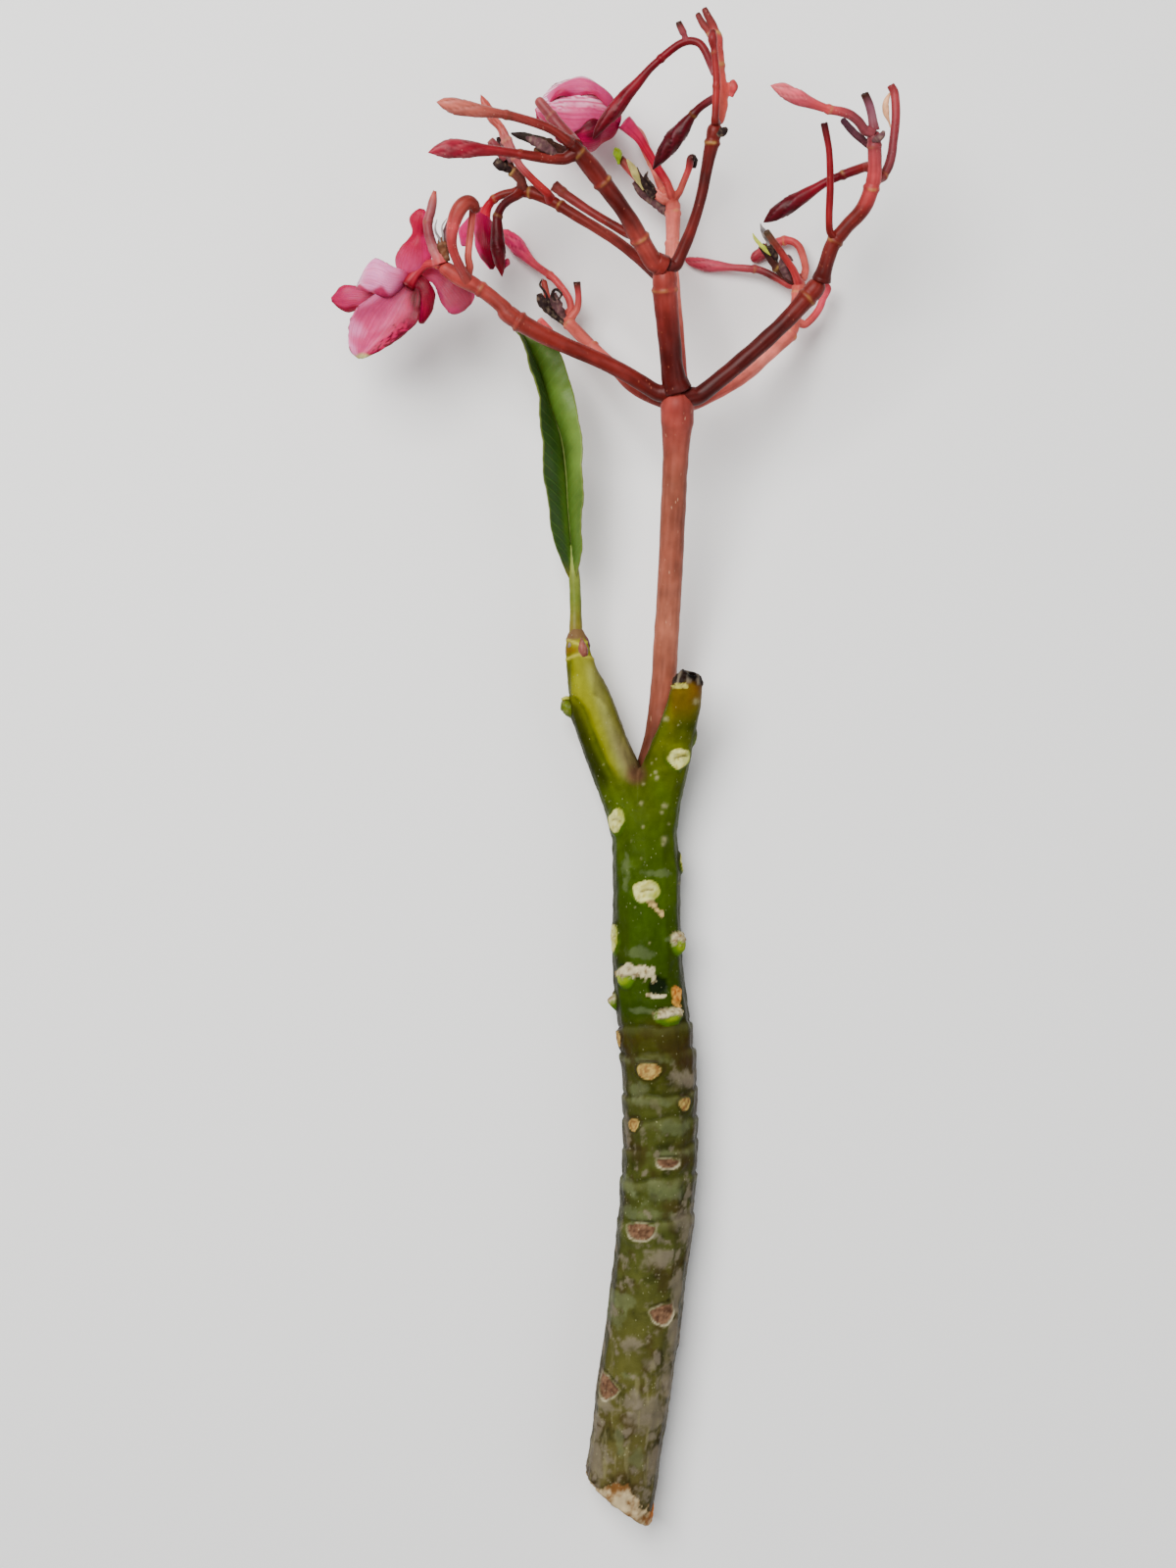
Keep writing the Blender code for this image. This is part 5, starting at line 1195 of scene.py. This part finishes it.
# name, slot, ruffle (mm), colours of the throat, middle, tip, left and right margins, and the outline from
# throat to tip: x, y, z of the left margin, x, y, z of the right one, how far the middle stands up (mm)
PETALS = [
    ("left_flower_top_petal", "petal_pale", 0.5, (BLUSH, CERISE, CERISE, CERISE, MID),
     [(-58.2, 144.2, 33, -55.4, 144.4, 33.5, 0.3), (-59.4, 146.9, 34.5, -52, 144.8, 35.5, 1.2),
      (-59.3, 149, 36, -49.7, 147, 36.5, 1.9), (-57.8, 151.1, 37.5, -49.9, 151.5, 38, 1.9),
      (-55.5, 153.2, 39, -50.9, 154, 39, 1.2), (-54.4, 155.1, 40, -50.9, 155.7, 40, 0.9),
      (-55.1, 157.9, 41, -50, 157.5, 40.5, 1.2), (-53.7, 159.9, 41.5, -50.2, 159.1, 41.5, 0.8),
      (-52.4, 160.7, 41.5, -51, 160.5, 41.5, 0.2)]),
    ("left_flower_pale_petal", "petal_pale", 0.45, (HOT, PALE, WHITE_PINK, HOT, PALE),
     [(-57, 141.7, 33.5, -55.6, 144.4, 34.5, 0.2), (-59.4, 139, 34.5, -57.8, 145, 37, 1),
      (-61.2, 137.7, 35.5, -60.2, 145.5, 38.5, 1.6), (-64.1, 138.1, 36.5, -62.8, 147, 39, 1.6),
      (-66.8, 138.8, 37, -65, 147.5, 39, 1.3), (-69, 139.3, 37, -67.2, 145.9, 38, 0.8),
      (-70.3, 139.8, 37, -69.5, 141.4, 37.2, 0.2)]),
    ("left_flower_far_petal", "petal_pink", 0.5, (DEEP, DUSTY, HOT, DEEP, HOT),
     [(-57.4, 143.1, 32, -56.8, 144.8, 33, 0.2), (-62.9, 137.7, 31.5, -62.6, 142.4, 32.5, 0.8),
      (-67.3, 135.9, 31, -67.8, 141.5, 31.5, 1.3), (-71.5, 134.9, 30.5, -72, 142, 30.5, 1.4),
      (-73.7, 134.7, 30, -74.8, 141.9, 29.8, 1.2), (-76, 136, 29.2, -76.8, 140.4, 29, 0.8),
      (-77.7, 137.7, 28.8, -78, 139.1, 28.8, 0.2)]),
    ("left_flower_broad_petal", "petal_pink", 0.5, (THROAT, BLUSH, BLUSH, PALE, HOT),
     [(-57.6, 143.9, 33, -55.1, 144.6, 34, 0.2), (-61.3, 140.8, 35, -52.9, 140.4, 34.5, -0.8),
      (-66.2, 137.4, 37, -52.6, 136.5, 35, -1.8), (-70.8, 133.4, 38, -53.3, 131.5, 35.5, -2.4),
      (-72.1, 129.4, 38, -56.3, 127.8, 36, -2.6), (-72.5, 125.8, 37, -60.4, 124.6, 36, -2.2),
      (-71.8, 123, 35.5, -64.3, 122.1, 35, -1.4), (-70.6, 121.4, 34, -67.1, 121.2, 33.6, -0.5),
      (-69.8, 121, 33.3, -68.8, 121, 33.2, -0.1)]),
    ("left_flower_right_petal", "petal_red", 0.4, (THROAT, DEEP, DEEP, HOT, DEEP),
     [(-56.2, 143.3, 33.5, -53.2, 144.8, 34, 0.2), (-54, 139.9, 34, -50.1, 142, 34.5, 0.9),
      (-52.9, 136.5, 33.6, -48.6, 138.7, 33.4, 1.2), (-53, 133.6, 32.8, -49.2, 135.4, 32, 1.1),
      (-53.4, 131.7, 31.5, -50.9, 132.4, 30.8, 0.6), (-52.9, 131.3, 30.8, -51.8, 131.3, 30.6, 0.1)]),
    ("left_flower_rear_petal", "petal_pale", 0.45, (BLUSH, FADED, FADED, DUSTY, BLUSH),
     [(-55, 144, 31.5, -54.2, 145.9, 31.5, 0.2), (-49.9, 142.8, 30.5, -49.3, 147.2, 30.5, 0.8),
      (-48, 139.8, 29.5, -44.5, 146.6, 29.5, 1.4), (-46.7, 136.6, 29, -40.6, 144.8, 29, 1.6),
      (-44.8, 134.7, 28.6, -38.2, 141.6, 28.6, 1.3), (-42.6, 134.5, 28.4, -37.9, 139.2, 28.3, 0.8),
      (-40.7, 135.4, 28.2, -38.8, 137.3, 28.2, 0.2)]),
    ("upper_flower_outer_petal", "petal_pale", 1.0, (HOT, BLUSH, MID, HOT, MID),
     [(2.8, 189.5, 22, 3.3, 191.4, 23, 0.3), (-0, 186.7, 24, 1.4, 195, 25, 2),
      (-3, 185.2, 25.5, -1.7, 198.1, 26, 4), (-6.9, 183.6, 26.5, -5.5, 199.7, 27, 5),
      (-10.8, 183, 26.5, -9.4, 200.4, 27.5, 5.2), (-14.9, 184.8, 26, -13.5, 199.5, 27.5, 4.6),
      (-18.2, 188, 25.5, -17.1, 197.2, 27, 3.2), (-20.2, 190.9, 25, -19.3, 194.5, 26, 1.2),
      (-20.7, 192.5, 25, -20.1, 193.5, 25.5, 0.3)]),
    ("upper_flower_lower_petal", "petal_red", 0.8, (DEEP, HOT, DEEP, HOT, THROAT),
     [(2.3, 189, 20, 3.1, 190.9, 22, 0.3), (-0.5, 185.3, 20, -0, 188.4, 26, 1.6),
      (-3.9, 183.1, 20, -3.3, 188.4, 30, 2.6), (-6.6, 181.9, 20.5, -6.1, 186.8, 31, 2.6),
      (-10, 182.6, 21, -9.1, 185.8, 29.5, 2), (-13, 184.1, 21.5, -12.4, 185.7, 26, 1.2),
      (-15.2, 185.6, 22, -14.6, 186.2, 24, 0.3)]),
    ("upper_flower_rim_petal", "petal_pale", 0.9, (HOT, BLUSH, PALE, HOT, WHITE_PINK),
     [(1.6, 190.6, 26, 2.5, 192.3, 26, 0.2), (-0.9, 192.1, 30.5, 0.5, 195.3, 29, 0.7),
      (-4.4, 194.3, 32.5, -2.8, 198.1, 30.5, 1), (-8.3, 194.9, 33, -6.9, 199.9, 31, 1.1),
      (-12.1, 194.5, 32.5, -11.3, 199.3, 31, 1.1), (-15.7, 193.3, 31, -15.4, 197.4, 30, 0.9),
      (-18.2, 192.1, 28.5, -17.9, 194.6, 28.5, 0.5), (-19.3, 191.7, 27, -19, 192.8, 27, 0.1)]),
    ("upper_flower_rear_petal", "petal_pink", 1.0, (HOT, MID, BLUSH, HOT, WHITE_PINK),
     [(2.8, 190.8, 18.5, 2, 193.3, 18.5, 0.2), (-0.5, 189.4, 16.5, -0.2, 198.8, 16.5, -1.6),
      (-5.2, 188.2, 14.5, -4.4, 202.9, 15, -2.8), (-10, 188, 14.2, -9.4, 204.4, 14.6, -3.2),
      (-15, 188.9, 15, -14.2, 203.4, 15.4, -2.6), (-18.6, 190.9, 17, -17.8, 200, 17.2, -1.6),
      (-20.6, 193.1, 19, -20, 195.6, 19, -0.3)]),
    ("drooping_flower_front_petal", "petal_red", 0.4, (HOT, DEEP, THROAT, MID, DEEP),
     [(-37.7, 165.2, 21.5, -35.7, 166, 22, 0.3), (-37.9, 162.1, 23, -33.5, 161.5, 23.2, 1.3),
      (-38.1, 158.6, 24, -32.3, 157.4, 24.2, 1.9), (-37.8, 154.6, 24.4, -31.8, 154, 24.6, 2),
      (-36.5, 151.3, 24.2, -31.5, 151.3, 24.3, 1.4), (-34.8, 149.2, 23.9, -32.1, 149.2, 23.9, 0.7),
      (-33.7, 147.9, 23.7, -32.9, 147.9, 23.7, 0.1)]),
    ("drooping_flower_left_petal", "petal_pink", 0.4, (HOT, MID, BLUSH, BLUSH, MID),
     [(-37.7, 164.9, 20.5, -36.9, 165.6, 21, 0.2), (-40.5, 162.8, 20.2, -38.3, 163.1, 21, 0.5),
      (-42.5, 160.7, 19.4, -38.9, 160.6, 20.2, 0.8), (-42.8, 158.4, 18.8, -39.7, 157.7, 19.4, 0.8),
      (-42.3, 156.5, 18.3, -40.6, 155.9, 18.6, 0.4), (-41.8, 155.7, 18.2, -40.9, 155.7, 18.2, 0.1)]),
    ("drooping_flower_rear_petal", "petal_red", 0.4, (HOT, DEEP, DEEP, HOT, DEEP),
     [(-37.5, 165.4, 19.8, -35.8, 165.9, 20, 0.2), (-37.8, 161.5, 18.4, -33.1, 162, 18.6, -0.9),
      (-37.6, 157.3, 17.6, -32.6, 158, 17.8, -1.2), (-35.9, 153.9, 17.4, -32.6, 154.5, 17.5, -0.8),
      (-34.8, 151.7, 17.4, -33.1, 152, 17.4, -0.1)]),
]


def make_petal(name, slot, ruffle, colours, outline):
    """A thin sheet between its two margins, with an arched middle, ruffled edges and raised veins."""
    throat, middle, tip, left, right = colours
    seed = numbered_seed(name, 89)
    outline = np.array(outline)
    left_side, right_side = outline[:, :3], outline[:, 3:6]
    rows = np.column_stack([(left_side + right_side) / 2, (right_side - left_side) / 2, outline[:, 6]])
    rows, run = curve_through(rows, 0.3)
    across = np.linspace(-1, 1, 37)
    v, u = np.meshgrid(across, run / run[-1])
    half = rows[:, 3:6]
    width = np.linalg.norm(half, axis=1)[:, None]
    along = np.gradient(rows[:, :3], axis=0)
    up = np.cross(half, along)
    up /= np.linalg.norm(up, axis=1)[:, None] + 1e-9
    up[up[:, 2] < 0] *= -1
    drift = np.array([[noise.noise(Vector((seed, 2.2 * a * b, 5 * a))) for b in across] for a in u[:, 0]])
    grain = np.array([[noise.noise(Vector((9 * b, seed, 22 * a))) for b in across] for a in u[:, 0]])
    free = ramp(0.12, 0.4, u)
    edge = np.abs(v) ** 2.5
    wave = edge * np.sin(TAU * (2.4 * u + 0.13 * seed + 0.25 * np.sign(v))) * free
    roll = -0.6 * ruffle * ramp(0.76, 1.0, np.abs(v)) * free
    fan = TAU * (6.5 * v + 0.5 * np.sign(v) * u) + 2.0 * drift
    veins = 0.05 * np.sin(fan) * ramp(0.05, 0.2, u) * np.minimum(1, width / 2)
    lift = rows[:, 6:7] * (1 - v ** 2) + ruffle * wave + roll + veins
    lift += 0.9 * ruffle * drift * np.minimum(1, width / 3)
    reach = v * (1 + free * np.abs(v) * (0.06 * drift + 0.035 * grain))
    points = rows[:, None, :3] + reach[..., None] * half[:, None] + lift[..., None] * up[:, None]
    tint = colours_along((throat, mix(throat, middle, 0.5), middle, middle, tip), u)
    streak = ramp(-0.2, 0.9, np.sin(fan + 1.5 * grain))
    crumpled = name.startswith("upper_flower")
    amount, faded_out = (0.75, 1.4) if crumpled else (0.45, 0.95)
    tint = mix(tint, mix(throat, middle, 0.3), amount * streak * ramp(faded_out, 0.15, u))
    tint = mix(tint, left, ramp(0.5, 0.92, -v + 0.5 * drift) * free * 0.9)
    tint = mix(tint, right, ramp(0.5, 0.92, v + 0.5 * drift) * free * 0.9)
    if name == "left_flower_broad_petal":
        tint = mix(tint, DUSTY, 0.7 * np.exp(-((u - 0.42) / 0.16) ** 2) * ramp(0.4, -0.2, v))
        tint = mix(tint, HOT, 0.9 * ramp(0.05, 0.5, v + 0.5 * drift - 0.35 * (0.6 - u)) * ramp(0.08, 0.3, u))
        tint = mix(tint, THROAT, ramp(0.1, -0.12, u - 0.28 * ramp(-0.4, 0.9, v) + 0.1 * drift))
        tint = mix(tint, THROAT, 0.95 * ramp(0.45, 0.8, v + 0.4 * drift) * ramp(0.62, 0.35, u))
        torn = ramp(0.62, 0.86, v + 0.7 * grain) * ramp(0.42, 0.6, u)
        tint = mix(tint, rgb(74, 0, 26), 0.85 * torn)
        tint = mix(tint, rgb(206, 206, 150), ramp(0.93, 0.97, u))
    if name == "upper_flower_outer_petal":
        tint = mix(tint, WHITE_PINK, 0.9 * ramp(-0.2, 0.5, v + 0.6 * drift) * free * (1 - streak))
    bitten = ramp(0.955, 0.995, np.abs(v)) * ramp(-0.05, 0.15, grain + 0.5 * drift) * free
    tint = mix(tint, rgb(110, 56, 48), 0.75 * bitten)
    stands_for = [name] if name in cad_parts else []
    shape_grid(name + "_sheet", points, FINISHES["petal"], tint, stands_for, wall=PETAL_WALL)


for row in PETALS:
    make_petal(*row)

# ---------------------------------------------------------------- withered bits, bracts and small buds

BRACT, LIME_PALE, WITHERED, GREY = rgb(206, 196, 130), rgb(206, 216, 90), rgb(116, 84, 88), rgb(166, 160, 160)
FUZZY, GREY_PINK, SLIVER, TIP_BUD = rgb(122, 82, 60), rgb(150, 110, 116), rgb(240, 190, 150), rgb(150, 96, 84)
# name, slot, colour, and x, y, z and radius (mm) along it
BITS = [
    ("green_bract", "leaf_green", LIME,
     [(2.6, 180.6, 15, 0.5), (2.5, 181.8, 15.5, 1.1), (2.2, 183.0, 16, 1.3), (1.7, 184.2, 16, 0.4)]),
    ("yellow_bract", "leaf_green", BRACT,
     [(9.3, 174.1, 15, 0.9), (7.9, 176.1, 16, 1.2), (6.5, 178.5, 16.5, 1), (5.1, 180.7, 16.5, 0.3)]),
    ("withered_bit_left", "dried", BLACKISH,
     [(11.6, 171.8, 15, 0.9), (9.9, 174.1, 16, 0.8), (8.4, 176.8, 16.5, 0.5), (7.9, 178.5, 16.5, 0.15)]),
    ("withered_bit_right", "dried", BLACKISH,
     [(12.7, 172.1, 14, 0.9), (11.6, 174.1, 15, 0.8), (10.4, 175.8, 16, 0.6), (11, 177.5, 16, 0.15)]),
    ("withered_curved_stub", "dried", WITHERED,
     [(15.5, 167.3, 13, 1.3), (12.8, 170, 12, 1.4), (9.4, 172.3, 12, 1.1), (7.1, 175.3, 12.5, 0.8)]),
    ("stub_cap", "dried", BLACKISH,
     [(23.9, 179.6, 15.5, 1.1), (23.9, 181.2, 15.6, 1.3), (24.1, 182.3, 15.6, 0.5)]),
    ("lime_sliver", "leaf_green", LIME_PALE,
     [(45.4, 155.7, 12, 0.7), (43.4, 157.3, 12.6, 0.6), (41.9, 158.9, 13, 0.5), (41.1, 160.5, 13, 0.15)]),
    ("grey_fibres", "dried", GREY, [(45.2, 158.1, 14, 0.5), (44.4, 160.2, 14.5, 0.9),
                                    (43.5, 161.9, 14.6, 0.4), (43.2, 163, 14.6, 0.1)]),
    ("withered_bud_a", "dried", BLACKISH,
     [(53.8, 149.6, 9, 0.9), (52, 151.6, 10, 1.2), (50.3, 153.8, 10.5, 1.1), (49.2, 156, 10.5, 0.4)]),
    ("withered_bud_b", "dried", WITHERED,
     [(52, 148.3, 10, 0.8), (50.5, 150, 11, 1.2), (49.9, 152.3, 12, 1.2), (51.3, 154, 12, 0.7),
      (52.7, 152.9, 12, 0.2)]),
    ("withered_bud_c", "dried", BLACKISH,
     [(48, 153.1, 11, 0.5), (47.4, 154.9, 12, 1), (45.9, 156.7, 12.5, 0.9), (45.3, 158.4, 12.5, 0.3)]),
    ("brown_lump_a", "dried", WITHERED,
     [(-13.4, 137.1, 12, 1), (-14.5, 139.1, 13.5, 1.4), (-15.6, 141.2, 14, 1.5), (-15.9, 143.2, 14, 0.7)]),
    ("brown_lump_b", "dried", BLACKISH,
     [(-14.2, 136, 12, 0.8), (-17.3, 138.5, 12.5, 1.1), (-19.3, 140.9, 13, 1.4), (-20.1, 143.1, 13, 0.8)]),
    ("wiry_bit", "dried", BLACKISH,
     [(-15, 140.5, 15, 0.45), (-16.4, 142.2, 16, 0.4), (-15.3, 143.8, 16.5, 0.4), (-13.6, 142.4, 16.5, 0.35),
      (-14.5, 140.8, 16.3, 0.3)]),
    ("wiry_bit_b", "dried", BLACKISH,
     [(-17.3, 140.6, 14.5, 0.4), (-18.4, 143.2, 15.5, 0.35), (-19.8, 145.1, 15.8, 0.3),
      (-19.2, 146.8, 15.8, 0.15)]),
    ("fuzzy_brown_bud", "dried", FUZZY,
     [(-44.8, 146.3, 46.4, 0.9), (-45.4, 148.1, 46.8, 1.4), (-45.8, 149.8, 47.2, 1.4),
      (-46.2, 151.4, 47.4, 0.6)]),
    ("grey_pink_stub", "pedicel_mauve", GREY_PINK,
     [(-45.4, 148.4, 46, 1), (-44.8, 152.3, 46.5, 1.1), (-43.7, 155.4, 47, 1.1), (-42.6, 158.6, 47.2, 0.9)]),
    ("fibre_tuft_a", "dried", GREY,
     [(-46.6, 151.1, 48.4, 0.35), (-47.6, 153.3, 49, 0.3), (-47.1, 156, 49, 0.12)]),
    ("fibre_tuft_b", "dried", GREY,
     [(-45.5, 151.6, 48.4, 0.3), (-45.7, 154.1, 49, 0.25), (-44.4, 156.3, 49, 0.1)]),
    ("cream_sliver", "bud_pink", SLIVER,
     [(75.5, 182.3, 50, 0.3), (74.6, 184.8, 50.5, 0.9), (74.6, 187.4, 50.8, 0.8), (75.6, 189.7, 51, 0.3)]),
    ("side_bud", "dried", BLACKISH, [(28.7, 176.2, 60, 0.8), (30, 176.8, 60.5, 1.2), (31, 177.6, 60.5, 0.5)]),
    ("node_bract", "dried", WITHERED,
     [(71.1, 175.5, 57.5, 0.8), (72.3, 176, 58.5, 1), (73.1, 177.3, 58.8, 0.4)]),
    ("hidden_stub", "branch_salmon", ROSE,
     [(-17, 128.7, 33, 1.2), (-18.4, 130.5, 32, 1.2), (-19.5, 132.2, 31.5, 0.9)]),
    ("tip_bud", "pedicel_mauve", TIP_BUD,
     [(-7.4, 38.4, 16, 0.7), (-7.5, 39.8, 17, 1.5), (-7.7, 41.8, 17.4, 1.3), (-8, 44.2, 17, 0.3)]),
    ("shoot_side_knob", "leaf_green", rgb(118, 132, 30),
     [(-9.6, 23, 12.6, 2), (-11.1, 24.2, 12.9, 2.3), (-12.5, 25, 13.1, 2.1), (-13.8, 25.2, 13.2, 1.3)]),
    ("side_knob_rim", "leaf_green", rgb(190, 192, 90),
     [(-11, 27.2, 13.8, 0.5), (-12.3, 27.3, 14, 0.6), (-13.6, 26.9, 14, 0.4)]),
    ("tip_scale_left", "dried", rgb(150, 136, 130),
     [(-10.3, 39.7, 14.8, 1), (-10.8, 41.9, 15.6, 1.1), (-10.3, 44.1, 15.8, 0.7), (-9.4, 45.8, 15.6, 0.15)]),
    ("tip_scale_right", "dried", WITHERED,
     [(-6.4, 40.8, 14.2, 0.8), (-6.4, 43.1, 14.8, 0.8), (-6.9, 45.3, 15, 0.2)]),
    ("side_knob_lobe", "pedicel_mauve", ROSE,
     [(32.3, 186.9, 61, 0.8), (32.8, 188.5, 61.5, 1.1), (32.3, 190.1, 61.5, 0.6)]),
    ("cluster_scale_a", "dried", WITHERED,
     [(-14.8, 168.3, 69, 1), (-17.4, 169.8, 71, 1.5), (-19.9, 171.1, 72, 1.3), (-22.2, 172, 72.4, 0.4)]),
    ("cluster_scale_b", "dried", FUZZY,
     [(-13.8, 167.8, 67, 1), (-15.9, 168.4, 68.5, 1.6), (-18.5, 169, 69.5, 1.3), (-20.2, 169.6, 70, 0.5)]),
    ("far_left_cup", "dried", BLACKISH,
     [(-28.8, 175, 29, 1.1), (-30.7, 175.9, 29.5, 1.6), (-32.1, 177, 29.6, 1)]),
    ("far_left_short_a", "pedicel_mauve", MAUVE,
     [(-30.1, 178.3, 31, 1.2), (-31.7, 180.2, 32, 1.3), (-33.4, 182, 32.5, 1.1)]),
    ("far_left_short_b", "pedicel_mauve", GREY_PINK,
     [(-28, 177.7, 31, 1.1), (-29, 179.7, 32, 1.2), (-29.8, 181.7, 32.6, 1)]),
    ("red_dot", "bud_crimson", HOT,
     [(-29.5, 148.2, 26, 0.5), (-28.9, 149.2, 26.4, 1), (-28.7, 150.3, 26.4, 0.4)]),
]


def make_bit(name, slot, colour, rows):
    """A small withered, creased or pointed piece that swells and twists along its length."""
    rows = np.array(rows, float)
    seed = numbered_seed(name, 83)
    rows = np.vstack([[*(1.6 * rows[0, :3] - 0.6 * rows[1, :3]), 0.8 * rows[0, 3]], rows])

    def swell(run, turn, radius):
        folds = np.sin(TAU * (3 * turn + 0.08 * run) + seed) + 0.6 * np.sin(TAU * 7 * turn + 1.1 * run + seed)
        crease = 0.16 if slot == "dried" else 0.05
        lumps = lumps_around(seed, run, turn, 1.0, 0.9)
        return radius * (1 + crease * folds * 0.5 + 1.6 * crease * lumps)

    points, run, turn = swept(rows, 0.22, 18, swell)
    points = closed_ends(points, ((0.6, 0.1), (0, 0.15)))
    flat = points.reshape(-1, 3)
    shade = 1 + 0.45 * wobble(flat, 1.4, seed).reshape(points.shape[:2])
    pale = np.clip(wobble(flat, 0.9, seed + 2), 0, 1).reshape(points.shape[:2])
    tint = mix(np.asarray(colour) * shade[..., None], rgb(196, 176, 150), 0.35 * pale)
    finish = FINISHES["stalk_green"] if slot == "leaf_green" else FINISHES[slot]
    shape_grid(name, points, finish, tint, closed=True)


for row in BITS:
    make_bit(*row)

# ---------------------------------------------------------------- floor, light and camera

def make_floor():
    bpy.ops.object.select_all(action="DESELECT")
    bpy.ops.mesh.primitive_plane_add(size=6)
    floor = bpy.context.object
    floor.name = "floor"
    finish, tree, shader = new_material("floor_paint")
    cloud = noise_of(tree, place_in(tree), 3.0)
    paint = blend_colours(tree, cloud, (0.92, 0.92, 0.918, 1), (0.95, 0.95, 0.945, 1))
    tree.links.new(paint, shader.inputs["Base Color"])
    shader.inputs["Roughness"].default_value = 0.8
    shader.inputs["Specular IOR Level"].default_value = 0.2
    floor.data.materials.append(finish)


def make_light(name, where, aim, size, power, colour):
    light = bpy.data.lights.new(name, "AREA")
    light.shape = "DISK"
    light.size = size
    light.energy = power
    light.color = colour
    lamp = bpy.data.objects.new(name, light)
    lamp.location = where
    lamp.rotation_euler = (Vector(aim) - Vector(where)).to_track_quat("-Z", "Y").to_euler()
    bpy.context.scene.collection.objects.link(lamp)


def make_camera():
    """Straight above the cutting, 0.7 m up, with the whole cutting in an upright frame."""
    view = bpy.data.cameras.new("camera")
    view.sensor_width = 36
    view.lens = 36 * CAMERA_HEIGHT / FRAME_HEIGHT
    view.clip_start = 0.01
    camera = bpy.data.objects.new("camera", view)
    camera.location = (CAMERA_OVER[0], CAMERA_OVER[1], CAMERA_HEIGHT)
    bpy.context.scene.collection.objects.link(camera)
    bpy.context.scene.camera = camera


CAMERA_HEIGHT = 0.7                       # metres
FRAME_HEIGHT = CAMERA_HEIGHT * 448 / 685     # metres; what shows from top to bottom at the floor
CAMERA_OVER = (SHIFT[0] * MM, SHIFT[1] * MM)
make_floor()
make_light("overhead_softbox", (-0.35, 0.4, 1.05), (0, 0, 0), 0.8, 24, (1.0, 0.985, 0.96))
make_light("side_fill", (0.9, -0.3, 0.8), (0, 0, 0), 0.9, 4, (0.95, 0.98, 1.0))
make_camera()
surroundings = bpy.data.worlds.new("studio")
surroundings.use_nodes = True
surroundings.node_tree.nodes["Background"].inputs["Color"].default_value = (1.0, 1.0, 1.0, 1)
surroundings.node_tree.nodes["Background"].inputs["Strength"].default_value = 0.3
bpy.context.scene.world = surroundings
